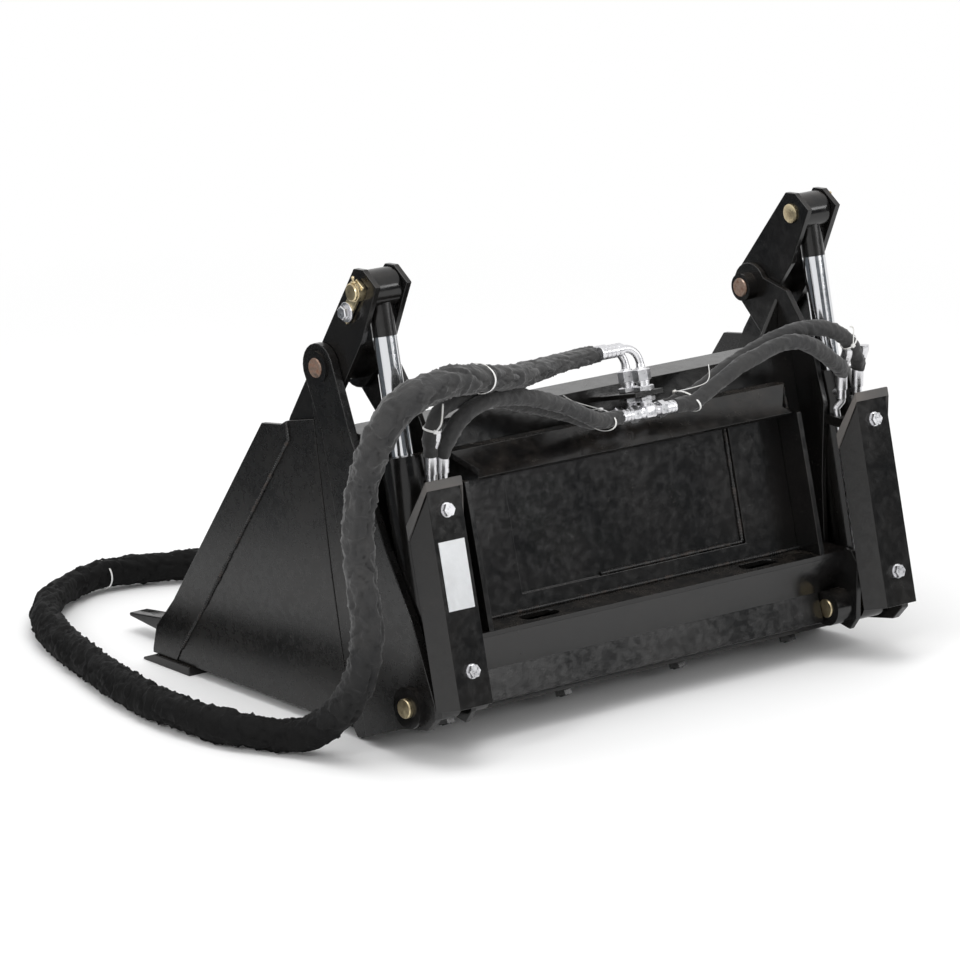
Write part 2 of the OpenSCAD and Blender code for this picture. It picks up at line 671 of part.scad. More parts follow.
// Sides of each tube, and its steps from one point of its route to the next
tail_sides = 12;
tail_steps = 2;
line_sides = 12;
line_steps = 4;
jumper_sides = 10;
jumper_steps = 3;
sleeve_sides = 12;
sleeve_steps = 2;
module tube(route, r, sides, steps) {
    q = smooth(route, steps);
    n = normals(q, side_hint);
    rings = len(q);
    corners = [for (i = [0 : rings - 1], k = [0 : sides - 1])
        q[i] + r * (cos(360 * k / sides) * n[i] + sin(360 * k / sides) * cross(heading(q, i), n[i]))];
    sleeve = [for (i = [0 : rings - 2], k = [0 : sides - 1])
        [i * sides + k, (i + 1) * sides + k, (i + 1) * sides + (k + 1) % sides, i * sides + (k + 1) % sides]];
    polyhedron(corners, concat([[for (k = [0 : sides - 1]) k]], sleeve,
        [[for (k = [sides - 1 : -1 : 0]) (rings - 1) * sides + k]]));
}

// Fittings behind each gland: crimps on short elbows, hose tails above them and the line from the base port
port_rise = 8;
axis_dir = unit(up_pin - low_pin);
port_c = low_pin + axis_dir * (barrel_l - gland_h + port_rise);
crimp_l = 28;
stub_l = 4;
elbow_r = 8;
port_r = 6.8;
crimp_back = 42.5;
crimp_back_in = 46.5;
crimp_out = 18;
crimp_in = 39;
line_d = 12;
line_x = 28;
line_y = 35;
line_from = 75;
line_bend = 18;
line_gap = 1;
line_lead = 4;
// Hose tails stand on the crimps, in millimetres from their tops, and swing with the barrel
tail_route = [[0, 0, 0], [0, 0, 7], [0, -4, 17], [0, -9, 27], [0, -13, 37], [0, -13, 44]];
crimp_top = port_c[1] + elbow_r + crimp_l;
// What is drawn behind a gland is cut clear of the cylinder
module clear_of_cylinder() {
    difference() {
        children();
        translate([x_cyl, low_pin[0], low_pin[1]]) rotate([cyl_lean, 0, 0])
            cylinder(h = cyl_span, d = gland_d + 2 * weld_gap);
    }
}
module crimp_stack(x, back) {
    translate([x, port_c[0] - back, port_c[1]]) {
        translate([0, 0, -elbow_r]) cylinder(h = 2 * elbow_r, r = elbow_r);
        translate([0, 0, elbow_r]) cylinder(h = crimp_l, d = crimp_d);
    }
}
module crimp_stub(x, back) {
    translate([x, port_c[0] - back, crimp_top]) cylinder(h = stub_l, d = jumper_d);
}
module hose_tail(x, back) {
    translate([x, port_c[0] - back, crimp_top + weld_gap])
        tube(tail_route, jumper_d / 2, tail_sides, tail_steps);
}
module gland_port(x) {
    clear_of_cylinder() {
        crimp_stack(x, crimp_back);
        translate([x, port_c[0] - crimp_back, port_c[1]]) rotate([-90, 0, 0])
            cylinder(h = crimp_back, r = port_r);
    }
    hose_tail(x, crimp_back);
}
// Where the foot of a crimp's elbow lies, in the leaned frame of the cylinder
function elbow_foot(x, back) = [-x, -back * cos(cyl_lean) - elbow_r * sin(cyl_lean),
    barrel_l - gland_h + port_rise + back * sin(cyl_lean) - elbow_r * cos(cyl_lean) - line_gap];
module line_tube(x, back) {
    foot = [-line_x, -line_y, line_from];
    end = elbow_foot(x, back);
    bend = [foot[0], foot[1], end[2] - line_bend];
    lead = [0, 0, line_lead];
    difference() {
        union() {
            translate(foot) cylinder(h = bend[2] - foot[2] - weld_gap, d = line_d);
            translate(foot) rotate([0, 90, atan2(line_y, line_x)]) cylinder(h = line_y, r = elbow_r);
        }
        cylinder(h = cyl_span, d = barrel_d + 2 * weld_gap);
    }
    tube([bend, bend + lead, end - lead, end], line_d / 2, line_sides, line_steps);
}
module oil_lines_left() {
    color([0.72, 0.72, 0.74]) {
        placed() on_side(-1) {
            gland_port(x_cyl - crimp_out);
            crimp_stack(x_cyl - crimp_in, crimp_back_in);
            crimp_stub(x_cyl - crimp_in, crimp_back_in);
        }
        at_cylinder(-1) line_tube(crimp_in, crimp_back_in);
    }
}
module oil_lines_right() {
    color([0.72, 0.72, 0.74]) {
        placed() for (k = [-1, 1]) gland_port(x_cyl + k * crimp_out);
        at_cylinder(1) line_tube(crimp_out, crimp_back);
    }
}

// Manifold on the rim: bracket, two bulkhead unions with tees, and the elbows of the main hoses
union_x = -8;
union_y = [-130, -88];
bracket_w = 66;
bracket_l = 130;
bracket_t = 8;
bracket_front = on_face(rim_rise - bracket_t, back_t)[0];
thread_d = 20;
hex_af = 30;
hex_h = 10;
tee_w = 26;
tee_drop = 17;
branch_l = 14;
nut_l = 14;
nut_w = 25;
tee_crimp_l = 24;
elbow_rise = 22;
elbow_stem = 12;
elbow_bend = 30;
elbow_d = 13;
elbow_crimp_l = 48;
main_crimp_d = 23;
module manifold_bracket() {
    color([0.06, 0.06, 0.065]) placed() difference() {
        translate([union_x - bracket_w / 2, bracket_front - bracket_l, rim_z - bracket_t])
            cube([bracket_w, bracket_l, bracket_t]);
        for (y = union_y) translate([union_x, y, rim_z - bracket_t - over])
            cylinder(h = bracket_t + 2 * over, d = thread_d + 2 * hole_fit);
    }
}
module branch(k) {
    rotate([0, 90 * k, 0]) {
        translate([0, 0, tee_w / 2]) cylinder(h = branch_l, d = thread_d);
        translate([0, 0, tee_w / 2 + branch_l]) hex(nut_w, nut_l);
        translate([0, 0, tee_w / 2 + branch_l + nut_l]) cylinder(h = tee_crimp_l, d = crimp_d);
    }
}
tee_z = rim_z - bracket_t - tee_drop;
module manifold_fittings() {
    color([0.75, 0.75, 0.77]) placed() for (y = union_y) translate([union_x, y, 0]) {
        translate([0, 0, tee_z + tee_w / 2])
            cylinder(h = rim_z - tee_z - tee_w / 2 + hex_h + over, d = thread_d);
        translate([0, 0, rim_z]) hex(hex_af, hex_h);
        translate([-tee_w / 2, -tee_w / 2, tee_z - tee_w / 2]) cube([tee_w, tee_w, tee_w]);
        translate([0, 0, tee_z]) for (k = [-1, 1]) branch(k);
    }
}
elbow_z = rim_z + hex_h + over;
module hose_elbows() {
    color([0.78, 0.78, 0.8]) placed() for (y = union_y) translate([union_x, y, elbow_z]) {
        hex(nut_w, elbow_rise);
        translate([0, 0, elbow_rise]) cylinder(h = elbow_stem, d = elbow_d);
        translate([-elbow_bend, 0, elbow_rise + elbow_stem]) rotate([90, 0, 0])
            rotate_extrude(angle = 90) translate([elbow_bend, 0]) circle(d = elbow_d);
        translate([-elbow_bend - elbow_crimp_l, 0, elbow_rise + elbow_stem + elbow_bend]) rotate([0, 90, 0])
            cylinder(h = elbow_crimp_l, d = main_crimp_d);
    }
}

// Routes from the heel, in millimetres: jumper hoses from the tees to the crimps at the glands
left_front_route = [[-74, -130, 484], [-95, -130, 484], [-140, -133, 492], [-200, -138, 512],
    [-270, -144, 536], [-340, -147, 550], [-380, -146, 560], [-410, -141, 565], [-430, -132, 557],
    [-438, -124, 539], [-438, -124, 527]];
left_back_route = [[-74, -88, 484], [-95, -88, 484], [-140, -94, 490], [-210, -108, 504], [-290, -122, 522],
    [-350, -129, 534], [-392, -129, 528], [-413, -122, 511], [-417, -115, 498], [-417, -115, 487]];
right_front_route = [[58, -130, 484], [80, -130, 484], [120, -134, 492], [180, -142, 512], [250, -150, 538],
    [320, -154, 560], [390, -155, 577], [435, -150, 581], [463, -138, 569], [474, -124, 541],
    [474, -124, 527]];
right_back_route = [[58, -88, 484], [80, -88, 484], [120, -92, 488], [190, -106, 500], [270, -120, 518],
    [340, -130, 536], [385, -134, 550], [415, -133, 557], [432, -128, 551], [438, -124, 538],
    [438, -124, 527]];
module jumper_hoses() {
    routes = [left_front_route, left_back_route, right_front_route, right_back_route];
    color([0.06, 0.06, 0.06]) placed() for (route = routes)
        tube(route, jumper_d / 2, jumper_sides, jumper_steps);
}
tie_w = 4;
tie_t = 1.5;
// Cable ties round the jumpers, each at a point of its route
module tie(route, i) {
    v = route[i + 1] - route[i - 1];
    translate(route[i]) rotate([0, acos(v[2] / norm(v)), atan2(v[1], v[0])]) difference() {
        cylinder(h = tie_w, d = jumper_d + 2 * tie_t + 2 * weld_gap, center = true);
        cylinder(h = tie_w + over, d = jumper_d + 2 * weld_gap, center = true);
    }
}
module cable_ties() {
    color([0.9, 0.9, 0.9]) placed() {
        tie(left_front_route, 2);
        tie(left_front_route, 8);
        tie(right_front_route, 2);
        tie(right_front_route, 7);
    }
}

// Main hoses in their sleeve: over the left cylinder, down beside the bucket and round to the front
main_route = [[-86, -109, 588], [-110, -109, 588], [-134, -109, 588], [-210, -120, 586], [-300, -140, 588],
    [-380, -156, 598], [-450, -168, 606], [-512, -172, 600], [-556, -164, 568], [-574, -140, 520],
    [-578, -118, 460], [-580, -108, 395], [-580, -110, 330], [-580, -122, 270], [-582, -130, 210],
    [-588, -120, 150], [-598, -90, 95], [-612, -45, 52], [-632, 5, 31], [-665, 60, 28], [-690, 130, 28],
    [-700, 210, 28], [-690, 330, 28], [-665, 460, 28], [-630, 600, 28], [-590, 720, 28], [-545, 810, 28],
    [-480, 885, 28], [-400, 935, 28], [-320, 955, 28], [-240, 940, 28], [-150, 905, 28], [-60, 875, 28],
    [40, 856, 28], [120, 850, 28], [170, 850, 28], [220, 850, 28]];
coupler_d = 27;
coupler_l = 60;
coupler_pitch = 28.5;
main_end = main_route[len(main_route) - 1];
module main_hose() {
    color([0.05, 0.05, 0.05]) placed() tube(main_route, sleeve_d / 2, sleeve_sides, sleeve_steps);
}
module hose_couplers() {
    color([0.7, 0.7, 0.72]) placed() for (k = [-1, 1])
        translate([main_end[0], main_end[1] + k * coupler_pitch / 2, main_end[2]]) rotate([0, 90, 0])
            cylinder(h = coupler_l, d = coupler_d);
}

moldboard();
pocket_plates();
qa_plate();
qa_sides();
qa_lip();
qa_ledge();
lower_beam();
rear_blade();
blade_bolts();
rear_side(-1);  // rear_side_left
rear_side(1);  // rear_side_right
ear_plate(-1);  // ear_plate_left
ear_plate(1);  // ear_plate_right
inner_ear(-1);  // inner_ear_left
inner_ear(1);  // inner_ear_right
inner_lug(-1);  // inner_lug_left
inner_lug(1);  // inner_lug_right
pin_bosses();
ear_gussets();
cylinder_cover(-1);  // cylinder_cover_left
cylinder_cover(1);  // cylinder_cover_right
cover_straps();
cover_tabs();
cover_bolts();
blank_plate();
pivot_pins();
cylinder_pins();
manifold_bracket();
manifold_fittings();
hose_elbows();
jumper_hoses();
cable_ties();
main_hose();
hose_couplers();
shell_floor();
shell_side(-1);  // shell_side_left
shell_side(1);  // shell_side_right
side_cutter(-1);  // side_cutter_left
side_cutter(1);  // side_cutter_right
cutting_edge();
teeth();
arm_outer(-1);  // arm_outer_left
arm_outer(1);  // arm_outer_right
arm_inner(-1);  // arm_inner_left
arm_inner(1);  // arm_inner_right
arm_tubes();
upper_pins();
keeper_bolts();
barrel(-1);  // barrel_left
barrel(1);  // barrel_right
gland(-1);  // gland_left
gland(1);  // gland_right
oil_lines_left();
oil_lines_right();
rod(-1);  // rod_left
rod(1);  // rod_right
rod_eye(-1);  // rod_eye_left
rod_eye(1);  // rod_eye_right
piston(-1);  // piston_left
piston(1);  // piston_right
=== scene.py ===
# %% [markdown]
# This lesson dresses a bucket for a small loader. The steel pieces come from a packed
# model of the construction, with their real sizes and places. They could be drawn again
# here, but two drawings of one piece soon differ. So Blender keeps them, rebuilds the few
# that need more detail, and adds paint, weld beads, sleeves, ties and light.

# %% Load the frame
import math
import bmesh
import bpy
from mathutils import Matrix, Vector, noise


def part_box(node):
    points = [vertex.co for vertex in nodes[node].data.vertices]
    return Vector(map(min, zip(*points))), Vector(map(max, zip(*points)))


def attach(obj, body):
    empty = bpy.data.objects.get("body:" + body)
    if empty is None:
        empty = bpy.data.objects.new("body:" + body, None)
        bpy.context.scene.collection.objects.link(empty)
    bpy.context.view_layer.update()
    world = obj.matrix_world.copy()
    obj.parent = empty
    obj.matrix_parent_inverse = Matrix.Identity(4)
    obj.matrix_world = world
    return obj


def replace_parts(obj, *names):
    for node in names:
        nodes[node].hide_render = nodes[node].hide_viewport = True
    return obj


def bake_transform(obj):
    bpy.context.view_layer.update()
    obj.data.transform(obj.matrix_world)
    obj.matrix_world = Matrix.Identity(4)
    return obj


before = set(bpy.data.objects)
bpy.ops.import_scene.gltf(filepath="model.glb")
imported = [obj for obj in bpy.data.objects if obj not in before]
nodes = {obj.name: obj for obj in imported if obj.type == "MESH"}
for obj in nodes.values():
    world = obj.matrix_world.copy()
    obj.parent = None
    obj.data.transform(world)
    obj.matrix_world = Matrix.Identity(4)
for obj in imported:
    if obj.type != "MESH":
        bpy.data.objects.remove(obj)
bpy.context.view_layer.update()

# %% [markdown]
# The construction is drawn in millimetres from the bucket's heel and then centred on its
# origin. Places could be typed in the centred frame, but from the heel they are easier to
# check against the construction, so one helper moves them into the shared frame. The
# cutting edge's tip lies ahead of the heel by the depth of the floor.

# %% A helper for places
MM = 0.001
FLOOR_DEPTH = 577
heel_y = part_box("cutting_edge")[1].y - FLOOR_DEPTH * MM


def place(x, y, z):
    """A point in the frame, in metres, from millimetres measured at the heel."""
    return Vector((x * MM, heel_y + y * MM, z * MM))


print("The heel lies at y =", round(heel_y, 4))

# %% [markdown]
# The picture was taken with a long lens from behind the bucket's left corner. A camera
# could be placed by eye, but this one was worked out from the straight edges of the
# plates, so that the frame falls on the photograph: a lens of 212 mm on a 36 mm sensor,
# about nine metres away.

# %% Camera
AZIMUTH = math.radians(-39.04)
ELEVATION = math.radians(14.96)
CAMERA_PLACE = (-5789.6, -6833.1, 2738.8)
LENS, SENSOR = 211.8, 36
VIEW_DEPTH = 60
photo_camera = bpy.data.cameras.new("photo_camera")
photo_camera.sensor_width = SENSOR
photo_camera.lens = LENS
photo_camera.clip_end = VIEW_DEPTH
camera = bpy.data.objects.new("photo_camera", photo_camera)
camera.location = place(*CAMERA_PLACE)
camera.rotation_euler = (math.pi / 2 - ELEVATION, 0, AZIMUTH)
bpy.context.scene.collection.objects.link(camera)
bpy.context.scene.camera = camera
print("The camera stands", round(camera.location.length, 2), "m from the origin")

# %% [markdown]
# Hoses, sleeves, ties and weld beads are all long and thin. A curve with a round bevel
# makes a plain hose, but it can't wrinkle or swell. So each of them follows a smooth line
# whose points are evenly spaced, and a skin is rolled round that line.

# %% Smooth lines
CURVE_STEPS = 12
TINY = 1e-9


def smooth_line(points, gap):
    """Places about gap metres apart on the smooth curve through the points."""
    fine = []
    last = len(points) - 1
    for i in range(last):
        a, b = points[max(i - 1, 0)], points[i]
        c, d = points[i + 1], points[min(i + 2, last)]
        for k in range(CURVE_STEPS):
            t = k / CURVE_STEPS
            fine.append(0.5 * (2 * b + (c - a) * t + (2 * a - 5 * b + 4 * c - d) * t * t
                               + (3 * b - a - 3 * c + d) * t ** 3))
    fine.append(points[last].copy())
    reach = [0.0]
    for a, b in zip(fine, fine[1:]):
        reach.append(reach[-1] + (b - a).length)
    count = max(2, round(reach[-1] / gap))
    line, k = [], 0
    for i in range(count + 1):
        want = reach[-1] * i / count
        while k < len(fine) - 2 and reach[k + 1] < want:
            k += 1
        share = (want - reach[k]) / max(reach[k + 1] - reach[k], TINY)
        line.append(fine[k].lerp(fine[k + 1], min(share, 1.0)))
    return line


def length_of(line):
    return sum((b - a).length for a, b in zip(line, line[1:]))


# %% [markdown]
# The skin is a flat grid from bmesh.ops.create_grid. Its rows become rings round the
# line, and a function of the place along the line gives each ring its size. The points
# of the rings could be listed one by one, but the grid already joins them into faces. Its
# own UV map runs along and round the piece, which keeps a weave in step with the cloth
# when the piece bends.

# %% Rolling a grid round a line
MERGE_GAP = 1e-7


def add_tube(bm, line, ring, sides, up=(0.1, 0.2, 1)):
    """Adds a closed tube to bm. ring(s, turn) gives its reach along up and across, at s metres."""
    rows = len(line) - 1
    made = bmesh.ops.create_grid(bm, x_segments=rows, y_segments=sides, size=1, calc_uvs=True)
    up = Vector(up)
    axes, s = [], 0.0
    for i, p in enumerate(line):
        ahead = (line[min(i + 1, rows)] - line[max(i - 1, 0)]).normalized()
        up = (up - ahead * up.dot(ahead)).normalized()
        axes.append((s, p, up.copy(), ahead.cross(up)))
        s += (line[min(i + 1, rows)] - p).length
    for v in made["verts"]:
        s, p, out, across = axes[round((v.co.x + 1) / 2 * rows)]
        turn = round((v.co.y + 1) / 2 * sides) * 2 * math.pi / sides
        a, b = ring(s, turn)
        v.co = p + out * a + across * b
    bmesh.ops.remove_doubles(bm, verts=made["verts"], dist=MERGE_GAP)
    ends = [e for v in made["verts"] if v.is_valid for e in v.link_edges if e.is_boundary]
    bmesh.ops.holes_fill(bm, edges=list(dict.fromkeys(ends)), sides=sides)


def oval_ring(a, b):
    """A ring of one size all along, with the reaches a and b in metres."""
    return lambda s, turn: (a * math.cos(turn), b * math.sin(turn))


def new_piece(name, bm, material, body, smooth=True, sharp=None):
    """An object from a finished bmesh, riding on a body if one is named. sharp is in degrees."""
    bmesh.ops.recalc_face_normals(bm, faces=bm.faces)
    mesh = bpy.data.meshes.new(name)
    bm.to_mesh(mesh)
    bm.free()
    mesh.polygons.foreach_set("use_smooth", [smooth] * len(mesh.polygons))
    if sharp:
        mesh.set_sharp_from_angle(angle=math.radians(sharp))
    piece = bpy.data.objects.new(name, mesh)
    bpy.context.scene.collection.objects.link(piece)
    mesh.materials.append(material)
    if body:
        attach(piece, body)
    print("Made", name, "with", len(mesh.polygons), "faces")
    return piece


# %% [markdown]
# Finishes could be pictures wrapped round the pieces, but those stretch and show seams.
# So every finish is made of shader nodes that read Object coordinates, and a pattern
# stays on its piece at its real size. Numbers that are the same all over are set on the
# shader's own sockets. A small builder keeps the node trees short.

# %% A builder for finishes
class Finish:
    """A material under construction, with short calls for the nodes that it needs."""

    def __init__(self, name, **sockets):
        self.material = bpy.data.materials.new(name)
        self.material.use_nodes = True
        self.tree = self.material.node_tree
        self.shader = self.tree.nodes["Principled BSDF"]
        for socket, value in sockets.items():
            self.shader.inputs[socket.replace("_", " ")].default_value = value
        self.coordinates = self.tree.nodes.new("ShaderNodeTexCoord").outputs["Object"]
        print("Mixed the finish", name)

    def node(self, kind, out=0, settings=None, **inputs):
        """The output of a new node. Inputs go by their label, or as i0, i1 by their number."""
        made = self.tree.nodes.new(kind)
        for key, value in (settings or {}).items():
            setattr(made, key, value)
        for key, value in inputs.items():
            socket = made.inputs[int(key[1:])] if key[1:].isdigit() else made.inputs[key.replace("_", " ")]
            if hasattr(value, "is_output"):
                self.tree.links.new(value, socket)
            else:
                socket.default_value = value
        return made.outputs[out]

    def noise(self, scale, detail=3, roughness=0.55, vector=None):
        return self.node("ShaderNodeTexNoise", Vector=vector or self.coordinates, Scale=scale, Detail=detail,
                         Roughness=roughness)

    def between(self, value, low, high, to_low=0.0, to_high=1.0):
        """Maps value from low..high to to_low..to_high, and stops at the ends."""
        return self.node("ShaderNodeMapRange", Value=value, From_Min=low, From_Max=high, To_Min=to_low,
                         To_Max=to_high)

    def times(self, a, b):
        return self.node("ShaderNodeMath", settings={"operation": "MULTIPLY"}, i0=a, i1=b)

    def most(self, a, b):
        return self.node("ShaderNodeMath", settings={"operation": "MAXIMUM"}, i0=a, i1=b)

    def mix(self, share, a, b):
        """A colour from a to b."""
        return self.node("ShaderNodeMix", 2, {"data_type": "RGBA"}, i0=share, i6=a, i7=b)

    def blend(self, share, a, b):
        """A number from a to b."""
        return self.node("ShaderNodeMix", 0, {"data_type": "FLOAT"}, i0=share, i2=a, i3=b)

    def link(self, socket, value):
        self.tree.links.new(value, self.shader.inputs[socket])

    def bump(self, height, distance, strength=1.0, normal=None):
        more = {"Normal": normal} if normal else {}
        return self.node("ShaderNodeBump", Height=height, Distance=distance, Strength=strength, **more)

    def upward(self):
        """1 on faces that look up, 0 on walls and undersides."""
        normal = self.node("ShaderNodeNewGeometry", 1)
        return self.between(self.node("ShaderNodeSeparateXYZ", 2, Vector=normal), 0.45, 0.95)


def grey(level):
    return (level, level, level, 1)


# %% [markdown]
# The steel is sprayed with a gloss black enamel. One plain black would be quicker, but
# real enamel has a slight orange peel, patches that took less paint, fine specks of dust
# caught in it, and a brown dust that settles on faces that look up. Each of these is a
# pattern of its own. The specular level sits a little under Blender's usual 0.5, because
# thin enamel over mill scale mirrors less than a thick varnish.

# %% Black enamel
DUST = (0.12, 0.1, 0.082, 1)
CAUGHT_SPECK = (0.3, 0.27, 0.23, 1)


def black_enamel(name, base=0.004, gloss=(0.12, 0.2), dust=0.22, peel=0.00006):
    """gloss is the least and the most roughness, dust its share on faces that look up."""
    paint = Finish(name, IOR=1.47, Specular_IOR_Level=0.46)
    patches = paint.noise(9, 5, 0.6)
    fine = paint.noise(70, 4, 0.6)
    thin_paint = (base * 2.1, base * 1.9, base * 1.75, 1)
    tone = paint.mix(paint.between(patches, 0.35, 0.7), grey(base), thin_paint)
    settled = paint.times(paint.upward(), paint.between(paint.noise(26, 6, 0.7), 0.42, 0.72, 0, dust))
    film = paint.times(paint.between(paint.noise(14, 6, 0.75), 0.5, 0.85), 0.1 * dust)
    dusty = paint.most(settled, film)
    tone = paint.mix(dusty, tone, DUST)
    dots = paint.node("ShaderNodeTexVoronoi", Vector=paint.coordinates, Scale=190.0)
    clusters = paint.between(paint.noise(17, 3), 0.56, 0.66, 0, 0.5)
    specks = paint.times(paint.between(dots, 0.1, 0.06), clusters)
    paint.link("Base Color", paint.mix(specks, tone, CAUGHT_SPECK))
    shine = paint.between(patches, 0.3, 0.72, *gloss)
    hazy = paint.blend(paint.between(fine, 0.4, 0.75, 0, 0.35), shine, 0.5)
    paint.link("Roughness", paint.blend(dusty, hazy, 0.72))
    skin = paint.bump(paint.noise(330, 2, 0.5), peel)
    skin = paint.bump(paint.noise(4.5, 2, 0.4), 0.0016, 0.55, skin)
    paint.link("Normal", paint.bump(specks, 0.0002, 0.6, skin))
    return paint.material


enamel = black_enamel("black_enamel")
enamel_soft = black_enamel("black_enamel_plates", gloss=(0.22, 0.28), dust=0.12, peel=0.00005)
enamel_inside = black_enamel("black_enamel_inside", gloss=(0.13, 0.19), dust=0.1)
enamel_worn = black_enamel("black_enamel_on_the_blade", base=0.006, gloss=(0.42, 0.56), dust=0.4)
strap_paint = black_enamel("scuffed_black_straps", base=0.045, gloss=(0.3, 0.5), dust=0.5)

# %% [markdown]
# Weld beads wear the same paint, but over the ripples of the puddle. The plates' enamel
# would do, but paint runs thin on the crests, so this finish lets a brown of scale and
# first rust show through.

# %% Painted welds
SCALE_BROWN = (0.09, 0.06, 0.045, 1)


def weld_finish():
    paint = Finish("black_enamel_on_welds", IOR=1.47, Specular_IOR_Level=0.4)
    burnt = paint.between(paint.noise(60, 5, 0.7), 0.5, 0.75)
    paint.link("Base Color", paint.mix(paint.times(burnt, 0.55), grey(0.011), SCALE_BROWN))
    paint.link("Roughness", paint.between(burnt, 0, 1, 0.26, 0.6))
    paint.link("Normal", paint.bump(paint.noise(420, 3, 0.6), 0.0004, 0.8))
    return paint.material


weld_paint = weld_finish()

# %% [markdown]
# Bolts and fittings are zinc plated: a bluish or yellow sheen on steel, with duller
# stains. A grey paint would look flat, so Metallic is 1 and the metal mirrors the studio.
# A cloud mixes the stains in, and a fine grain breaks the mirror up.

# %% Plated and bare steel
def metal(name, tone, stained, rough=(0.22, 0.45), stain=0.35, grain=900.0):
    """stained is the colour of the stains and stain their share. A higher grain is finer."""
    steel = Finish(name, Metallic=1.0)
    cloud = steel.noise(45, 5, 0.65)
    steel.link("Base Color", steel.mix(steel.between(cloud, 0.4, 0.72, 0, stain), tone, stained))
    steel.link("Roughness", steel.between(steel.noise(160, 4, 0.6), 0.3, 0.75, *rough))
    steel.link("Normal", steel.bump(steel.noise(grain, 2, 0.6), 0.00005, 0.7))
    return steel.material


zinc = metal("zinc_plate", (0.72, 0.72, 0.74, 1), (0.42, 0.41, 0.4, 1))
yellow_zinc = metal("yellow_zinc_plate", (0.62, 0.53, 0.34, 1), (0.3, 0.22, 0.13, 1), (0.25, 0.5), 0.6)
ground_steel = metal("ground_steel", (0.55, 0.55, 0.57, 1), (0.32, 0.3, 0.28, 1), (0.18, 0.34), 0.4)
plate_metal = metal("brushed_aluminium", (0.66, 0.67, 0.68, 1), (0.5, 0.5, 0.5, 1), (0.3, 0.42), 0.3, 1500.0)

# %% [markdown]
# The pivot pins' ends are bare steel that has begun to rust. One brown would hide the
# metal, so a noise decides where there is rust. There the piece is rougher and hardly
# metallic, and between the spots it is still steel.

# %% Rusted pins
BARE_STEEL = (0.36, 0.28, 0.23, 1)
DARK_RUST, LIGHT_RUST = (0.09, 0.035, 0.02, 1), (0.24, 0.12, 0.07, 1)


def rusty_pin():
    steel = Finish("rusted_pin_steel")
    rust = steel.between(steel.noise(120, 6, 0.7), 0.36, 0.62)
    brown = steel.mix(steel.noise(300, 3), DARK_RUST, LIGHT_RUST)
    steel.link("Base Color", steel.mix(rust, BARE_STEEL, brown))
    steel.link("Metallic", steel.between(rust, 0, 1, 1, 0.25))
    steel.link("Roughness", steel.between(rust, 0, 1, 0.3, 0.7))
    steel.link("Normal", steel.bump(steel.noise(700, 4, 0.7), 0.00012, 0.7))
    return steel.material


pin_steel = rusty_pin()

# %% [markdown]
# The rods are hard chrome. A real rod shows faint rings from the grinding wheel and the
# seal. They are far too fine to cut into the mesh, so the roughness changes along the rod
# by a noise that is squeezed lengthways.

# %% Chrome
SQUEEZED = (30.0, 30.0, 900.0)


def chrome_finish():
    chrome = Finish("hard_chrome", Metallic=1.0, Base_Color=(0.72, 0.73, 0.75, 1))
    rings = chrome.node("ShaderNodeMapping", Vector=chrome.coordinates, Scale=SQUEEZED)
    chrome.link("Roughness", chrome.between(chrome.noise(1.0, 2, vector=rings), 0.3, 0.8, 0.06, 0.2))
    chrome.link("Normal", chrome.bump(chrome.noise(6, 2), 0.0006, 0.25))
    return chrome.material


chrome = chrome_finish()

# %% [markdown]
# The sleeves are woven nylon. Modelled threads would take millions of faces, so the weave
# is two crossed waves in the material. They follow the piece's own UV map, which runs
# along and round each sleeve, so the weave doesn't slide when the hose bends. Near the
# floor the colour is painted darker as painted shade, with less sheen and specular level.

# %% Woven nylon
NYLON_TONE = 0.016
# Heights in metres: below the first the sleeve's colour is painted darker, most at the second, as painted shade
# near the floor.
PAINTED_SHADE_FROM, PAINTED_SHADE_TO = 0.3, 0.04


def sleeve_finish(name, rows, turns):
    """rows and turns are the threads along and round the sleeve."""
    tone = NYLON_TONE
    cloth = Finish(name, Sheen_Roughness=0.45)
    uv = cloth.node("ShaderNodeUVMap", settings={"uv_map": "UVMap"})
    split = cloth.tree.nodes.new("ShaderNodeSeparateXYZ")
    cloth.tree.links.new(uv, split.inputs[0])
    warp = cloth.node("ShaderNodeMath", settings={"operation": "SINE"},
                      i0=cloth.times(split.outputs[0], rows * math.pi))
    weft = cloth.node("ShaderNodeMath", settings={"operation": "SINE"},
                      i0=cloth.times(split.outputs[1], turns * math.pi))
    weave = cloth.times(warp, weft)
    worn = cloth.noise(22, 6, 0.7)
    colour = cloth.mix(cloth.between(worn, 0.38, 0.7), (tone, tone, tone * 1.04, 1),
                       (tone * 2.3, tone * 2.25, tone * 2.2, 1))
    colour = cloth.mix(cloth.between(weave, -0.2, 1, 0, 0.3), colour, grey(tone * 3))
    # Painted shade: near the floor the colour darkens, and the sheen and specular level fall.
    height = cloth.node("ShaderNodeSeparateXYZ", 2, Vector=cloth.coordinates)
    painted_shade = cloth.between(height, PAINTED_SHADE_FROM, PAINTED_SHADE_TO, 0, 0.85)
    cloth.link("Base Color", cloth.mix(painted_shade, colour, grey(0.002)))
    cloth.link("Sheen Weight", cloth.between(painted_shade, 0, 0.85, 0.24, 0.0))
    cloth.link("Specular IOR Level", cloth.between(painted_shade, 0, 0.85, 0.32, 0.1))
    cloth.link("Roughness", cloth.between(worn, 0.3, 0.7, 0.6, 0.85))
    rib = cloth.bump(weave, 0.0003, 0.6)
    rib = cloth.bump(cloth.noise(230, 3, 0.6), 0.0008, 0.5, rib)
    cloth.link("Normal", cloth.bump(cloth.noise(75, 4, 0.6), 0.003, 0.75, rib))
    return cloth.material


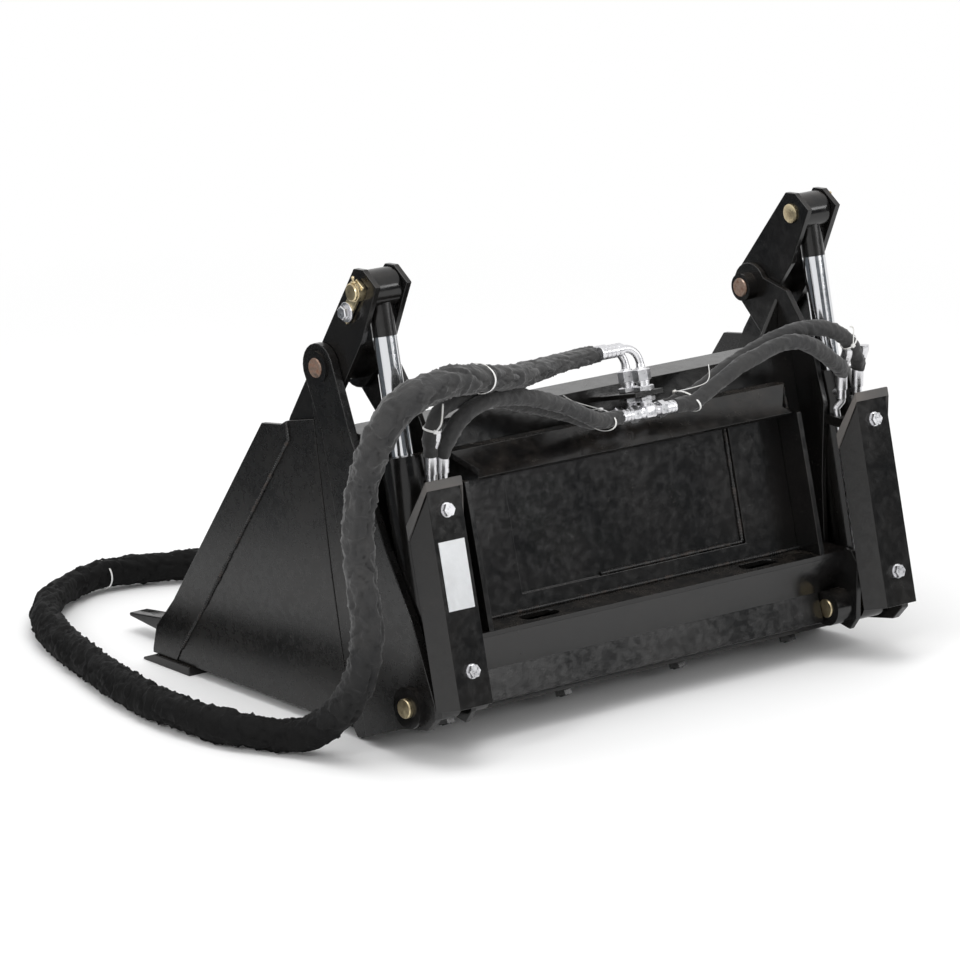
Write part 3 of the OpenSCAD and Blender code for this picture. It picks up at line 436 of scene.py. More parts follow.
main_sleeve_cloth = sleeve_finish("nylon_sleeve_main", 1900, 130)
jumper_cloth = sleeve_finish("nylon_sleeve_jumpers", 420, 70)

# %% [markdown]
# The ties are moulded from white nylon, which yellows a little as it ages. Plain white
# would glare beside the black, so a soft cloud mixes a warmer, slightly darker white in.

# %% White nylon
AGED_WHITE = (0.62, 0.61, 0.57, 1)


def nylon_finish():
    nylon = Finish("white_nylon")
    cloud = nylon.noise(40, 5, 0.6)
    nylon.link("Base Color", nylon.mix(nylon.between(cloud, 0.4, 0.7), grey(0.72), AGED_WHITE))
    nylon.link("Roughness", nylon.between(cloud, 0.3, 0.7, 0.35, 0.5))
    nylon.link("Normal", nylon.bump(nylon.noise(300, 3), 0.00003, 0.6))
    return nylon.material


white_nylon = nylon_finish()

# %% [markdown]
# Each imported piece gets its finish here, by its name in the frame. Sixty calls could do
# it one by one, but a list per finish is easier to read: first all are black, and then
# some of them change. The pieces that are rebuilt further on get their finish there.

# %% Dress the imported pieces
def dress(finish, *names):
    for name in names:
        mesh = nodes[name].data
        mesh.materials.clear()
        mesh.materials.append(finish)


dress(enamel, *nodes)
dress(enamel_soft, "shell_side_left", "shell_side_right", "ear_plate_left", "ear_plate_right",
      "rear_side_left", "rear_side_right", "side_cutter_left", "side_cutter_right")
dress(enamel_inside, "moldboard", "pocket_plates", "shell_floor")
dress(enamel_worn, "rear_blade")
dress(chrome, "rod_left", "rod_right")
dress(ground_steel, "piston_left", "piston_right")
dress(pin_steel, "pivot_pins")
dress(yellow_zinc, "cylinder_pins")
dress(zinc, "cover_bolts", "hose_couplers", "oil_lines_left", "oil_lines_right")
dress(plate_metal, "blank_plate")
print("All", len(nodes), "packed pieces have a finish")

# %% [markdown]
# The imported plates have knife-sharp edges. Real plates are sheared or flame cut, and
# the paint rounds them over. Modifiers can do this without touching the meshes: Weld
# joins the loose triangles, Decimate dissolves the flat ones into whole faces, and Bevel
# rounds what is left, so each edge catches the light.

# %% Rounded edges on the plates
JOIN_GAP = 0.00001
FLAT_ANGLE = math.radians(0.5)
EDGE_ANGLE = math.radians(30)


def round_edges(width, *names):
    for name in names:
        piece = nodes[name]
        weld = piece.modifiers.new("join", "WELD")
        weld.merge_threshold = JOIN_GAP
        flat = piece.modifiers.new("flatten", "DECIMATE")
        flat.decimate_type = "DISSOLVE"
        flat.angle_limit = FLAT_ANGLE
        edge = piece.modifiers.new("edge", "BEVEL")
        edge.width = width
        edge.segments = 2
        edge.limit_method = "ANGLE"
        edge.angle_limit = EDGE_ANGLE
        edge.harden_normals = True
    print("Rounded the edges of", len(names), "pieces over", width, "m")


round_edges(0.0014, "moldboard", "pocket_plates", "qa_plate", "qa_sides", "qa_lip", "lower_beam",
            "rear_side_left", "rear_side_right", "ear_plate_left", "ear_plate_right", "inner_ear_left",
            "inner_ear_right", "inner_lug_left", "inner_lug_right", "ear_gussets", "shell_side_left",
            "shell_side_right", "side_cutter_left", "side_cutter_right", "arm_outer_left",
            "arm_outer_right", "arm_inner_left", "arm_inner_right", "shell_floor")
round_edges(0.0016, "rear_blade", "qa_ledge", "cutting_edge", "cover_tabs")
round_edges(0.0022, "teeth")

# %% [markdown]
# A cylinder cover is a bent sheet that hides the barrel from behind: a narrow back and
# two sides that flare open and are cut down towards their edges. A flat strap runs round
# its top. Separate plates could be joined edge to edge, but one bent sheet keeps the
# corners shut, so an outline in plan is raised to a height that falls along the sides.

# %% Bent sheets
CREASE_ANGLE = 0.35
SHEET_ROUNDING_SHARE = 0.2


def beside(points, t):
    """The bent line at a distance t on the left of the line through the points."""
    moved = []
    for i, p in enumerate(points):
        a = (p - points[i - 1] if i else points[1] - p).normalized()
        b = (points[i + 1] - p if i < len(points) - 1 else p - points[i - 1]).normalized()
        left = Vector((-a.y - b.y, a.x + b.x)).normalized()
        moved.append(p + left * t / left.dot(Vector((-a.y, a.x))))
    return moved


def add_sheet(bm, line, t, low, high, matrix):
    """An upright sheet along a bent line in plan. low and high give its heights at a point."""
    near, far = [[bm.verts.new((p.x, p.y, 0)) for p in side] for side in (line, beside(line, t))]
    corners = near + far
    foot = []
    for i in range(len(line) - 1):
        foot += bmesh.ops.contextual_create(bm, geom=near[i:i + 2] + far[i:i + 2])["faces"]
    raised = [v for v in bmesh.ops.extrude_face_region(bm, geom=foot, use_keep_orig=True)["geom"]
              if isinstance(v, bmesh.types.BMVert)]
    for verts, height in ((corners, low), (raised, high)):
        for v in verts:
            v.co.z = height(v.co.y)
    bm.normal_update()
    edges = dict.fromkeys(e for v in corners + raised for e in v.link_edges)
    creases = [e for e in edges if e.calc_face_angle(0) > CREASE_ANGLE]
    bmesh.ops.transform(bm, matrix=matrix, verts=corners + raised)
    bmesh.ops.bevel(bm, geom=creases, offset=abs(t) * SHEET_ROUNDING_SHARE, segments=2, profile=0.5,
                    affect="EDGES", material=-1)


# %% [markdown]
# The covers lean a little less than the bucket's back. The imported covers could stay, but
# the cut of their sides is flatter here, which is nearer to the real ones. A strap stands
# a hair off its sheet, so that the two don't share a face.

# %% Cylinder covers
COVER_X, COVER_Y, COVER_Z = 456, -249, 105.1
COVER_LEAN = math.radians(-14.2)
COVER_TOP, COVER_FALL, COVER_SHEET = 0.363, 1.8, 0.003
STRAP_WIDE, STRAP_SHEET, STRAP_GAP = 0.0135, 0.005, 0.0003
SIDE_START, STRAP_ON_SIDE, STRAP_ON_BACK = 0.01, 1.65, 1.12
cover_plan = [Vector(p) * MM for p in ((52, 38), (33, 0), (-33, 0), (-52, 38))]


def cover_top(d):
    return COVER_TOP - COVER_FALL * max(d, 0)


def strap_foot(d):
    return cover_top(d) - STRAP_WIDE * (STRAP_ON_SIDE if d > SIDE_START else STRAP_ON_BACK)


for side, s in (("left", -1), ("right", 1)):
    cover_place = Matrix.Translation(place(s * COVER_X, COVER_Y, COVER_Z))
    cover_place = cover_place @ Matrix.Rotation(COVER_LEAN, 4, "X") @ Matrix.Diagonal((s, 1, 1, 1))
    bm = bmesh.new()
    add_sheet(bm, cover_plan, -COVER_SHEET, lambda d: 0.0, cover_top, cover_place)
    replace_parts(new_piece("cover_sheet_" + side, bm, enamel, "frame", smooth=False), "cylinder_cover_" + side)
    bm = bmesh.new()
    add_sheet(bm, beside(cover_plan, STRAP_GAP), STRAP_SHEET, strap_foot, cover_top, cover_place)
    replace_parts(new_piece("cover_strap_" + side, bm, strap_paint, "frame", smooth=False), "cover_straps")

# %% [markdown]
# The two main hoses leave the elbows side by side in one loose nylon sleeve. It runs over
# the left cylinder, drops beside the bucket, rounds it on the floor and ends ahead of it
# in two couplers. A hanging line could be computed, but a stiff hose lies where it was
# laid, so its route is a list of given points. They are the construction's own,
# but for the first ones, which follow the turned manifold, and for the length on the
# floor, which lies 3 mm higher so that no fold sinks in.

# %% Route of the main hoses
ROUTE_GAP = 0.0027
main_route = [place(*p) for p in (
    (-76, -79, 584), (-96, -79, 584), (-118, -82, 584), (-160, -91, 584), (-229, -110, 586),
    (-300, -132, 590), (-370, -146, 603), (-430, -156, 611), (-480, -165, 609), (-530, -168, 598),
    (-562, -158, 565), (-574, -140, 520), (-578, -118, 460), (-580, -108, 395), (-580, -110, 330),
    (-580, -122, 270), (-582, -130, 210), (-588, -120, 150), (-598, -90, 95), (-612, -45, 52),
    (-632, 5, 31), (-665, 60, 31), (-690, 130, 31), (-700, 210, 31), (-690, 330, 31), (-665, 460, 31),
    (-630, 600, 31), (-590, 720, 31), (-545, 810, 31), (-480, 885, 31), (-400, 935, 31), (-320, 955, 31),
    (-240, 940, 31), (-150, 905, 31), (-60, 875, 31), (40, 856, 31), (120, 850, 31), (170, 850, 31),
    (220, 850, 31))]
main_line = smooth_line(main_route, ROUTE_GAP)
main_length = length_of(main_line)
print("The main hoses are", round(main_length, 2), "m long")

# %% [markdown]
# The sleeve is wider than the hoses in it, so it creases and puckers. Cloth could be
# simulated, but the folds are small, and a bent hose has to keep them. So a noise that
# runs along and round the tube makes each ring larger or smaller, and its width and
# thickness change smoothly from the flat end at the elbows to the full sleeve.

# %% Wrinkled sleeves
CREASE_SHARPNESS = 3.2
# The widest fold of the main sleeve stays within this reach of its line, in metres.
MOST_REACH = 0.0362


def ridge(x, y, z):
    """1 on a crease, falling away on both sides of it."""
    return 1 - min(abs(noise.noise(Vector((x, y, z)))) * CREASE_SHARPNESS, 1)


def wrinkled(width, thickness, seed, depth, fold, least=0.0):
    """A ring whose size wanders as loose cloth does. width and thickness are functions of s."""
    def ring(s, turn):
        c, d = math.cos(turn), math.sin(turn)
        skew = s / fold + 0.5 * c - 0.3 * d
        big = ridge(skew, c * 0.9 + seed, d * 0.9)
        small = ridge(skew * 2.1, c * 1.9 - seed, d * 1.9)
        pinch = ridge(skew * 0.8 + 9, c * 1.2, d * 1.2 + seed) ** 3
        slow = noise.noise(Vector((s / (fold * 3), seed + c * 0.5, d * 0.5)))
        out = 1 + depth * (0.75 * big ** 2 + 0.35 * small - 0.8 * pinch - 0.2) + depth * 0.6 * slow
        return max(thickness(s) / 2 * out, least) * c, min(width(s) / 2 * out, MOST_REACH) * d
    return ring


def steps_between(*pairs):
    """A function that runs smoothly through (place, value) pairs."""
    def value(s):
        for (a, x), (b, y) in zip(pairs, pairs[1:]):
            if s <= b:
                t = min(max((s - a) / (b - a), 0), 1)
                return x + (y - x) * t * t * (3 - 2 * t)
        return pairs[-1][1]
    return value


# %% Main sleeve
NARROWS_BEFORE_END = 0.15
floor_run = main_length - NARROWS_BEFORE_END
sleeve_width = steps_between((0, 0.044), (0.1, 0.05), (0.3, 0.06), (0.5, 0.064), (0.9, 0.064), (1.2, 0.056),
                             (floor_run, 0.055), (main_length, 0.05))
sleeve_thick = steps_between((0, 0.025), (0.1, 0.026), (0.16, 0.034), (0.26, 0.039), (0.3, 0.041),
                             (0.36, 0.046), (1.2, 0.047), (floor_run, 0.046), (main_length, 0.03))
sleeve_ring = wrinkled(sleeve_width, sleeve_thick, seed=3.1, depth=0.2, fold=0.034)
bm = bmesh.new()
add_tube(bm, main_line, sleeve_ring, sides=44, up=(0, 0, 1))
main_sleeve = new_piece("main_sleeve", bm, main_sleeve_cloth, "frame")
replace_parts(main_sleeve, "main_hose")

# %% [markdown]
# Four jumper hoses join the tees to the crimps behind the glands. Each has a sleeve of
# its own. One riding on a single body would tear off at one end, because the upper ends
# belong to the frame and the lower ends to the swinging barrels, so these ride on no body.
# The routes are listed points, from the turned tees.

# %% Jumper sleeves
JUMPER_GAP = 0.0025
jumper_routes = {
    "left_front": (
        (-57, -124, 486), (-80, -125, 486), (-113, -130, 491), (-173, -134, 521), (-233, -138, 545),
        (-290, -141, 560), (-340, -143, 564), (-376, -142, 556), (-399, -138, 540), (-413, -132, 519),
        (-418, -123, 498), (-417, -116, 481)),
    "left_back": (
        (-57, -87, 476), (-80, -88, 477), (-98, -90, 480), (-143, -96, 499), (-209, -106, 522),
        (-264, -112, 540), (-314, -116, 554), (-357, -118, 564), (-390, -120, 566), (-420, -121, 559),
        (-438, -121, 541), (-443, -118, 516), (-439, -112, 494), (-438, -111, 481)),
    "right_front": (
        (57, -124, 486), (80, -126, 487), (99, -132, 490), (149, -136, 518), (189, -140, 538),
        (230, -143, 551), (272, -145, 561), (316, -145, 557), (356, -142, 538), (391, -136, 514),
        (420, -126, 495), (438, -112, 481)),
    "right_back": (
        (57, -87, 476), (78, -88, 478), (134, -94, 494), (181, -100, 519), (234, -106, 544),
        (280, -112, 561), (324, -116, 570), (368, -120, 570), (404, -124, 560), (436, -125, 539),
        (460, -121, 510), (473, -113, 490), (474, -111, 481))}


jumper_lines = {}
for seed, (name, route) in enumerate(jumper_routes.items()):
    line = smooth_line([place(*p) for p in route], JUMPER_GAP)
    jumper_lines[name] = line
    end = length_of(line)
    size = steps_between((0, 0.0235), (0.03, 0.0255), (end - 0.03, 0.0265), (end, 0.0235))
    bm = bmesh.new()
    jumper_ring = wrinkled(size, size, seed=seed * 7.7, depth=0.15, fold=0.024, least=0.01)
    add_tube(bm, line, jumper_ring, sides=24, up=(0, 0, 1))
    piece = new_piece("jumper_sleeve_" + name, bm, jumper_cloth, None)
    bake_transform(piece)
    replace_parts(piece, "jumper_hoses")
print("Jumper hoses:", {name: round(length_of(line), 3) for name, line in jumper_lines.items()})

# %% [markdown]
# White nylon ties hold the sleeves. A ring round the hose would look moulded on, so each
# tie is a flat band that follows the outline of what it goes round, with a square head
# and a free tail that sticks out.

# %% Shapes for the ties
BAND_HALF = (0.0018, 0.00075)
TAIL_HALF = (0.0014, 0.0007)
HEAD_SIZE = (0.0062, 0.0045, 0.0062)
BAND_STEPS = 40
TAIL_GAP = 0.004
BOX_ROUNDING_SHARE = 0.15


def add_box(bm, size, matrix):
    """A box with rounded edges."""
    made = bmesh.ops.create_cube(bm, size=1, matrix=matrix @ Matrix.Diagonal((*size, 1)))
    edges = dict.fromkeys(e for v in made["verts"] for e in v.link_edges)
    bmesh.ops.bevel(bm, geom=list(edges), offset=min(size) * BOX_ROUNDING_SHARE, segments=2, profile=0.5,
                    affect="EDGES", material=-1)


def along(line, share):
    """The place and heading at a share of a line's length."""
    i = min(max(round(share * (len(line) - 1)), 2), len(line) - 3)
    return line[i], (line[i + 2] - line[i - 2]).normalized()


def add_tie(bm, centre, ahead, reach_up, reach_across, tail, head_turn, up=(0, 0, 1)):
    """A band round an oval. tail is the list of the free tail's places, from the head."""
    up = (Vector(up) - ahead * ahead.dot(Vector(up))).normalized()
    across = ahead.cross(up)
    band = [centre + up * reach_up * math.cos(t) + across * reach_across * math.sin(t)
            for t in (2 * math.pi * k / BAND_STEPS for k in range(BAND_STEPS + 1))]
    add_tube(bm, band, oval_ring(*BAND_HALF), 8, up=ahead)
    head = centre + up * reach_up * math.cos(head_turn) + across * reach_across * math.sin(head_turn)
    away = (head - centre).normalized()
    head_axes = Matrix((ahead, away, ahead.cross(away))).transposed()
    add_box(bm, HEAD_SIZE, Matrix.Translation(head) @ head_axes.to_4x4())
    if tail:
        add_tube(bm, smooth_line([head] + tail, TAIL_GAP), oval_ring(*TAIL_HALF), 6, up=ahead)


# %% [markdown]
# Two ties hold the pairs of jumper hoses at the tees and two go round the main sleeve.
# These stay with the frame. One more on each side holds a jumper hose at the gland: it
# could ride on the barrel alone, but like its hose it rides on no body.

# %% Cable ties
PAIR_REACH = (0.0165, 0.0365)
JUMPER_REACH = 0.0148


def pair_middle(side, share):
    """The middle between the two jumper hoses of one side."""
    front, back = jumper_lines[side + "_front"], jumper_lines[side + "_back"]
    return (along(front, share)[0] + along(back, share)[0]) / 2


ties = bmesh.new()
add_tie(ties, pair_middle("left", 0.06), Vector((-1, 0, 0.3)).normalized(), *PAIR_REACH,
        [place(-150, -118, 525), place(-176, -122, 540)], head_turn=0.2)
add_tie(ties, pair_middle("right", 0.09), Vector((1, -0.05, 0.3)).normalized(), *PAIR_REACH,
        [place(112, -140, 520), place(120, -136, 548)], head_turn=-0.9)
for share, reach_up, reach_across, head_turn in ((0.108, 0.0235, 0.0345, 1.2), (0.8, 0.0255, 0.030, 0.4)):
    add_tie(ties, *along(main_line, share), reach_up, reach_across, [], head_turn)
white_ties = new_piece("white_ties", ties, white_nylon, "frame")
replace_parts(white_ties, "cable_ties")
for side, share, tail in (("left", 0.9, [(-440, -140, 540), (-438, -142, 572)]),
                          ("right", 0.86, [(438, -138, 560), (428, -140, 566)])):
    line = jumper_lines[side + "_back"]
    bm = bmesh.new()
    add_tie(bm, *along(line, share), JUMPER_REACH, JUMPER_REACH, [place(*p) for p in tail],
            head_turn=0.3, up=(0, -1, 0))
    piece = new_piece("white_tie_" + side, bm, white_nylon, None)
    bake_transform(piece)

# %% [markdown]
# Studs, nuts, crimps and pins are turned parts. A spin of an outline would make them, but
# a tube with a changing radius along a straight line needs no more than a short profile
# in millimetres, and the helper is there already. Six sides make a hexagon.

# %% Turned parts
HAIR = 1e-5
ROUND, HEX = 28, 6
SHARP_FROM = 32


def add_turned(bm, start, heading, profile, sides=ROUND):
    """profile lists (place along the axis, radius) in millimetres."""
    heading = Vector(heading).normalized()
    line = [start + heading * along_mm * MM for along_mm, _ in profile]
    # The first ring stands a hair back, so it sinks into what the part is set on.
    line[0] -= heading * HAIR

    def ring(s, turn):
        r = min(profile, key=lambda p: abs((p[0] - profile[0][0]) * MM - s))[1] * MM
        return r * math.cos(turn), r * math.sin(turn)
    add_tube(bm, line, ring, sides)


def hex_profile(low, high, across):
    """A nut or a bolt's head with its corners cut, by its width across the flats."""
    r = across / math.sqrt(3)
    return (low, r * 0.9), (low + 1.2, r), (high - 1.6, r), (high, r * 0.86)


def crimp_profile(low, high, r):
    """A crimped ferrule: a collar, then flats pressed in between raised rings."""
    rings = [(low, r * 0.92), (low + 1, r)]
    count = max(2, round((high - low) / 9))
    for k in range(1, count):
        middle = low + (high - low) * k / count
        rings += [(middle - 1.4, r), (middle - 0.8, r * 0.9), (middle + 0.8, r * 0.9), (middle + 1.4, r)]
    return rings + [(high - 1, r), (high, r * 0.9)]


# %% [markdown]
# The manifold is a plate that stands square to the leaning back, two bulkhead unions with
# tees under it and swivel elbows above. Each could be placed aslant by itself, but it is
# simpler to draw all of it upright from the rim of the back, and then to turn it with the
# back by one matrix. Places and profiles are in millimetres from its foot on the rim, and
# the sizes of boxes and tubes in metres.

# %% Manifold plate
BACK_LEAN = math.radians(14.6)
MANIFOLD_FOOT = (0, -18.8, 493.5)
PLATE_SIZE = (0.06, 0.112, 0.008)
manifold_turn = Matrix.Rotation(-BACK_LEAN, 4, "X")
at_manifold = Matrix.Translation(place(*MANIFOLD_FOOT)) @ manifold_turn
up_axis = manifold_turn @ Vector((0, 0, 1))
bm = bmesh.new()
add_box(bm, PLATE_SIZE, at_manifold @ Matrix.Translation((0, -PLATE_SIZE[1] / 2, -PLATE_SIZE[2] / 2)))
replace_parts(new_piece("manifold_plate", bm, enamel, "frame", smooth=False), "manifold_bracket")

# %% Unions
UNION_PLACES = (-100, -62)
TEE_Z = -34
TEE_BLOCK = (0.022, 0.022, 0.02)
STUD = ((0, 9.4), (6, 9.4), (8, 10), (18, 10), (20, 9.2), (39, 9.2))
LOWER_NUT, UPPER_NUT = hex_profile(0, 8.6, 28), hex_profile(0, 9, 30)
TEE_ARM = ((0, 10.5), (6, 10), (8, 8.6), (16, 8.6))
TEE_NUT, JUMPER_CRIMP = hex_profile(0, 14, 24.5), crimp_profile(0, 24, 10.6)


def on_manifold(x, y, z):
    return at_manifold @ Vector((x * MM, y * MM, z * MM))


def add_union(bm, y):
    """A union through the plate, its two nuts, and the tee under it with a crimp on each arm."""
    for z, profile, sides in ((-26, STUD, ROUND), (-17, LOWER_NUT, HEX), (0, UPPER_NUT, HEX)):
        add_turned(bm, on_manifold(0, y, z), up_axis, profile, sides)
    add_box(bm, TEE_BLOCK, at_manifold @ Matrix.Translation((0, y * MM, TEE_Z * MM)))
    for k in (-1, 1):
        for x, profile, sides in ((8, TEE_ARM, ROUND), (22, TEE_NUT, HEX), (35, JUMPER_CRIMP, ROUND)):
            add_turned(bm, on_manifold(k * x, y, TEE_Z), (k, 0, 0), profile, sides)


unions = bmesh.new()
for y in UNION_PLACES:
    add_union(unions, y)
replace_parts(new_piece("manifold_unions", unions, zinc, "frame", sharp=SHARP_FROM), "manifold_fittings")

# %% [markdown]
# A swivel elbow turns each main hose from upright to level. A spin could make its bend,
# but the tube helper follows a quarter circle just as well, with straight ends that reach
# into the nut below and the crimp beside it.

# %% Swivel elbows
SWIVEL_COLLAR = ((0, 10.5), (4, 10.5), (4.4, 11.5), (7, 11.5))
ELBOW_NECK = ((0, 10), (2, 9), (3, 7.5), (9, 6.8))
HOSE_COLLAR = ((0, 8.2), (1, 9.2), (4, 9.2), (5, 8.4))
SWIVEL_NUT, HOSE_CRIMP = hex_profile(0, 19, 26), crimp_profile(0, 44, 11.4)
BEND_Z, BEND_R, BEND_STEPS = 45, 28, 10
TUBE_R = 0.0066
TUBE_FOOT_Z, TUBE_END_X = 41, -34
HOSE_Z = BEND_Z + BEND_R


def add_elbow(bm, y):
    """A swivel nut, a tube bent to the left and the crimp of a main hose."""
    for z, profile, sides in ((10, SWIVEL_COLLAR, ROUND), (17, SWIVEL_NUT, HEX), (36, ELBOW_NECK, ROUND)):
        add_turned(bm, on_manifold(0, y, z), up_axis, profile, sides)
    bend = [on_manifold(-BEND_R + BEND_R * math.cos(a), y, BEND_Z + BEND_R * math.sin(a))
            for a in (k * math.pi / (2 * BEND_STEPS) for k in range(BEND_STEPS + 1))]
    line = [on_manifold(0, y, TUBE_FOOT_Z)] + bend + [on_manifold(TUBE_END_X, y, HOSE_Z)]
    add_tube(bm, line, oval_ring(TUBE_R, TUBE_R), 20, up=(0, 1, 0))
    for x, profile in ((-31, HOSE_COLLAR), (-36, HOSE_CRIMP)):
        add_turned(bm, on_manifold(x, y, HOSE_Z), (-1, 0, 0), profile)


elbows = bmesh.new()
for y in UNION_PLACES:
    add_elbow(elbows, y)
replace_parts(new_piece("swivel_elbows", elbows, zinc, "frame", sharp=SHARP_FROM), "hose_elbows")

# %% [markdown]
# Each upper pin is held by a flag: a plated strap welded over its end and bolted to the
# lever. A grease nipple stands up from the pin. They could be four kinds of piece, but
# one finish covers pin, flag and nipple, so these are one piece, and the bolts and
# washers another. They swing with the shell.

# %% Upper pins and keepers
UP_PIN, KEEPER = (0, 735.4), (24, 698)
PIN_X, FLAG_X, WASHER_X, BOLT_X, NIPPLE_X = 415, 497, 498.5, 501.5, 503
NIPPLE_RISE = 12
FLAG_SIZE = (0.005, 0.022, 0.078)
PIN = ((0, 12.5), (1.5, 16), (90, 16), (90.6, 14.5), (94, 14.5), (95.5, 12.5))
NIPPLE = ((0, 4.6), (5, 4.6), (6, 2.6), (9, 2.2), (10, 3.1), (13, 2.9), (14.5, 1.2))
WASHER = ((0, 15.5), (0.4, 16), (2.6, 16), (3, 15.5))
BOLT_HEAD = hex_profile(0, 9.5, 20)
flag_lean = Matrix.Rotation(math.atan2(KEEPER[0] - UP_PIN[0], UP_PIN[1] - KEEPER[1]), 4, "X")
pins, keepers = bmesh.new(), bmesh.new()
for s in (-1, 1):
    out = Vector((s, 0, 0))
    add_turned(pins, place(s * PIN_X, *UP_PIN), out, PIN)
    flag_middle = (place(s * FLAG_X, *UP_PIN) + place(s * FLAG_X, *KEEPER)) / 2
    add_box(pins, FLAG_SIZE, Matrix.Translation(flag_middle) @ flag_lean)
    nipple_place = place(s * NIPPLE_X, UP_PIN[0], UP_PIN[1] + NIPPLE_RISE)
    add_turned(pins, nipple_place, (s * 0.25, -0.1, 1), NIPPLE, sides=12)
    add_turned(keepers, place(s * WASHER_X, *KEEPER), out, WASHER)
    add_turned(keepers, place(s * BOLT_X, *KEEPER), out, BOLT_HEAD, HEX)
pin_ends = new_piece("upper_pins_and_flags", pins, yellow_zinc, "shell", sharp=SHARP_FROM)
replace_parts(pin_ends, "upper_pins")
bolts = new_piece("keeper_bolts_and_washers", keepers, zinc, "shell", sharp=SHARP_FROM)
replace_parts(bolts, "keeper_bolts")

# %% [markdown]
# Weld beads lie in the corners between plates. A bump in the paint would show no outline,
# so a bead is a thin tube that swells at each ripple of the puddle and wanders a little
# in size. They run along the ear plates' front edges, the side cutters' rear edges, the
# sides and the foot of the recess, and the right and bottom edges of its window.

# %% Weld beads
BEAD_STEP = 0.0015
RIPPLE_PITCH = 0.0048
BACK_FOOT = (-106.2, 189.8)
EAR_SEAM = ((80.8, 496.7), (32.9, 314), (11, 201.2))
CUTTER_SEAM = ((477, 40), (399, 144), (176, 461), (182, 489))
EAR_SEAM_X, CUTTER_SEAM_X, RECESS_X, WINDOW_X = 501, 500.6, 372, 237.5
RECESS_AHEAD, WINDOW_AHEAD = -1, 6.5


def add_bead(bm, points, r, seed):
    """r is the bead's radius in millimetres."""
    fine = []
    for a, b in zip(points, points[1:]):
        steps = max(2, round((b - a).length / BEAD_STEP))
        fine += [a.lerp(b, k / steps) for k in range(steps)]
    fine.append(points[-1])

    def ring(s, turn):
        swell = 1 + 0.15 * math.sin(s * 2 * math.pi / RIPPLE_PITCH + 0.6 * math.cos(turn))
        swell += 0.45 * noise.noise(Vector((s * 55, seed, 0.3)))
        return r * MM * swell * math.cos(turn), r * MM * swell * math.sin(turn)
    add_tube(bm, fine, ring, 8, up=(0.3, 0.5, 1))


def on_back(x, rise, ahead):
    """A place on the leaning back, by its height over the ledge and its depth ahead."""
    y = BACK_FOOT[0] + rise * math.tan(BACK_LEAN) + ahead * math.cos(BACK_LEAN)
    return place(x, y, BACK_FOOT[1] + rise - ahead * math.sin(BACK_LEAN))


beads, shell_beads = bmesh.new(), bmesh.new()
for s in (-1, 1):
    add_bead(beads, [place(s * EAR_SEAM_X, y, z) for y, z in EAR_SEAM], 4, seed=s)
    add_bead(beads, [on_back(s * RECESS_X, rise, RECESS_AHEAD) for rise in (3, 262)], 3.2, seed=s * 3)
    add_bead(shell_beads, [place(s * CUTTER_SEAM_X, y, z) for y, z in CUTTER_SEAM], 3, seed=s * 5)
add_bead(beads, [on_back(WINDOW_X, rise, WINDOW_AHEAD) for rise in (32, 221)], 3.2, seed=8)
add_bead(beads, [on_back(x, 31, WINDOW_AHEAD) for x in (-70, 236)], 3.2, seed=9)
add_bead(beads, [on_back(x, 2, RECESS_AHEAD) for x in (-370, 370)], 3, seed=10)
new_piece("frame_welds", beads, weld_paint, "frame")
new_piece("shell_welds", shell_beads, weld_paint, "shell")

# %% [markdown]
# The studio is plain: a pale floor, a white surround and soft lamps. A curved backdrop
# would hide the horizon, but it would stand in the way of the other views. So the floor
# is a large flat disc, and far from the bucket it turns plain white for the camera alone.

# %% Floor
FLOOR_RADIUS = 9
WHITE_FROM, WHITE_AT = 1.1, 3.2
bm = bmesh.new()
bmesh.ops.create_circle(bm, cap_ends=True, segments=96, radius=FLOOR_RADIUS)
floor_paint = Finish("pale_floor", Roughness=0.9, Specular_IOR_Level=0.1, Base_Color=grey(0.92))
distance = floor_paint.node("ShaderNodeVectorMath", 1, {"operation": "LENGTH"}, i0=floor_paint.coordinates)
far = floor_paint.times(floor_paint.between(distance, WHITE_FROM, WHITE_AT),
                        floor_paint.node("ShaderNodeLightPath"))
white = floor_paint.node("ShaderNodeEmission", Color=grey(1.0), Strength=1.0)
surface = floor_paint.node("ShaderNodeMixShader", i0=far, i1=floor_paint.shader.outputs[0], i2=white)
floor_paint.tree.links.new(surface, floor_paint.tree.nodes["Material Output"].inputs["Surface"])
new_piece("studio_floor", bm, floor_paint.material, None, smooth=False)

# %% [markdown]
# Gloss paint and chrome look grey where they mirror nothing but white. In a real studio
# dark cloths stand beyond the picture, and these dark grey screens do the same. The lamps
# could be dimmed instead, but then the paint would lose its bright edges. The camera and
# the floor don't see the screens.

# %% Dark screens
SCREEN_GREY = (0.1, 0.11, 0.12, 1)
screen_cloth = Finish("screen_cloth", Roughness=1.0, Specular_IOR_Level=0.0, Base_Color=SCREEN_GREY).material


def screen(name, middle, width, height):
    """A dark upright screen that faces the bucket and shows only in mirrored rays."""
    bm = bmesh.new()
    bmesh.ops.create_grid(bm, x_segments=1, y_segments=1, size=0.5)
    away = Vector((*middle[:2], 0)).to_track_quat("Z", "Y").to_matrix().to_4x4()
    stand = Matrix.Translation(middle) @ away @ Matrix.Diagonal((width, height, 1, 1))
    bmesh.ops.transform(bm, verts=bm.verts, matrix=stand)
    made = new_piece(name, bm, screen_cloth, None, smooth=False)
    made.visible_camera = made.visible_diffuse = made.visible_shadow = False


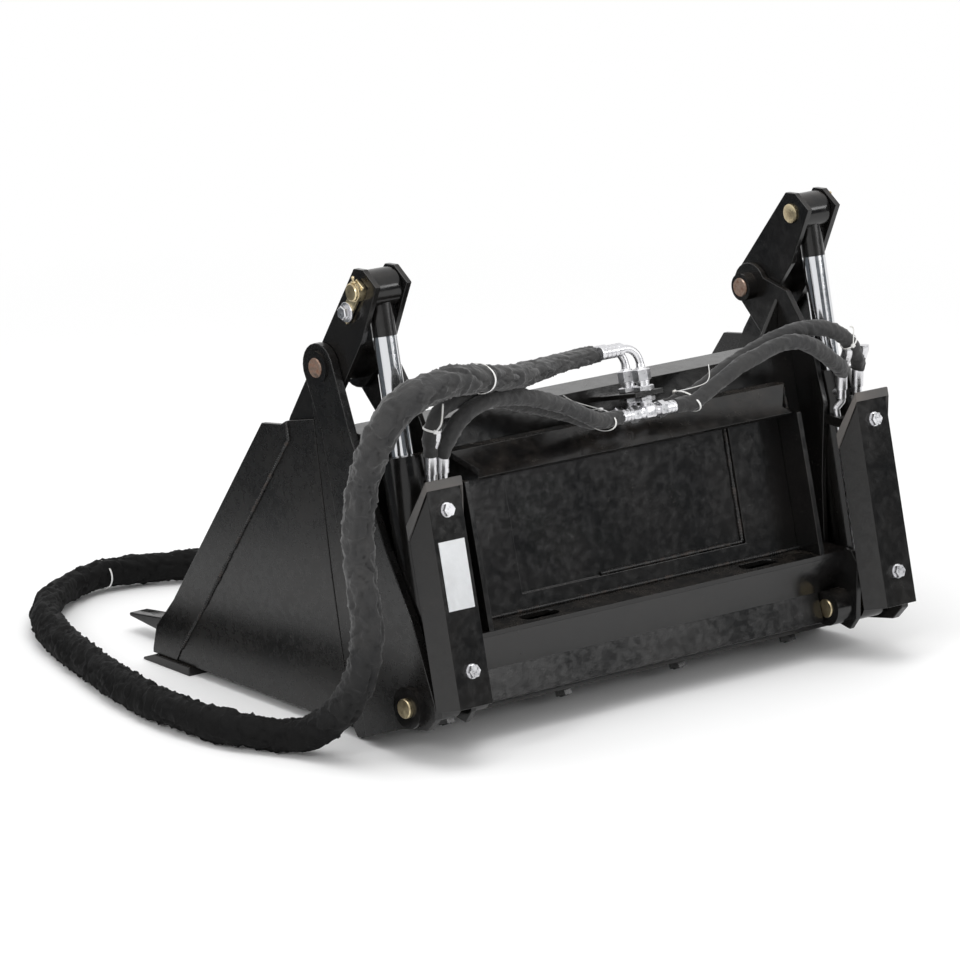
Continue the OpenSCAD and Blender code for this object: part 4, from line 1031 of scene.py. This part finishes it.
screen("screen_right_rear", (4.0, -4.2, 0.75), 4.6, 1.65)
screen("screen_left_front", (-1.12, 0.66, 0.42), 1.7, 0.8)
screen("screen_rear", (-1.2, -6.6, 1.0), 4.0, 2.2)

# %% [markdown]
# Three soft boxes light the bucket: a large one overhead and smaller ones at the left and
# at the right rear. Bare bulbs would give hard shadows, and those in the photograph are
# soft.

# %% Lamps
def softbox(name, location, target, size, watts):
    lamp = bpy.data.lights.new(name, "AREA")
    lamp.shape = "RECTANGLE"
    lamp.size, lamp.size_y = size
    lamp.energy = watts
    holder = bpy.data.objects.new(name, lamp)
    holder.location = location
    holder.rotation_euler = (Vector(target) - Vector(location)).to_track_quat("-Z", "Y").to_euler()
    bpy.context.scene.collection.objects.link(holder)
    print("The lamp", name, "has", watts, "W")


softbox("overhead", (-0.6, -0.8, 4.2), (0, 0, 0.3), (3.0, 2.6), 70)
softbox("left_front", (-4.2, -1.6, 2.2), (-0.2, 0, 0.35), (0.6, 0.9), 45)
softbox("right_rear", (2.9, -3.9, 1.86), (0.1, -0.3, 0.2), (2.4, 0.8), 32)

# %% [markdown]
# The surround is the white of the photograph. More lamps could whiten it, but they would
# bleach the bucket too. So the world shows full white to the camera and in mirrored or
# transmitted rays, and lights the object a little less strongly.

# %% Surround
SURROUND_LIGHT = 0.88
world = bpy.data.worlds.new("white_surround")
bpy.context.scene.world = world
world.use_nodes = True
tree = world.node_tree
rays = tree.nodes.new("ShaderNodeLightPath")
background = tree.nodes["Background"]
background.inputs["Color"].default_value = (1, 1, 1, 1)
seen = rays.outputs["Is Camera Ray"]
for other in ("Is Transmission Ray", "Is Glossy Ray"):
    either = tree.nodes.new("ShaderNodeMath")
    either.operation = "MAXIMUM"
    tree.links.new(seen, either.inputs[0])
    tree.links.new(rays.outputs[other], either.inputs[1])
    seen = either.outputs[0]
strength = tree.nodes.new("ShaderNodeMapRange")
strength.inputs["To Min"].default_value = SURROUND_LIGHT
tree.links.new(seen, strength.inputs["Value"])
tree.links.new(strength.outputs[0], background.inputs["Strength"])
bpy.context.scene.view_settings.view_transform = "Standard"
print("The surround lights the bucket at strength", SURROUND_LIGHT)
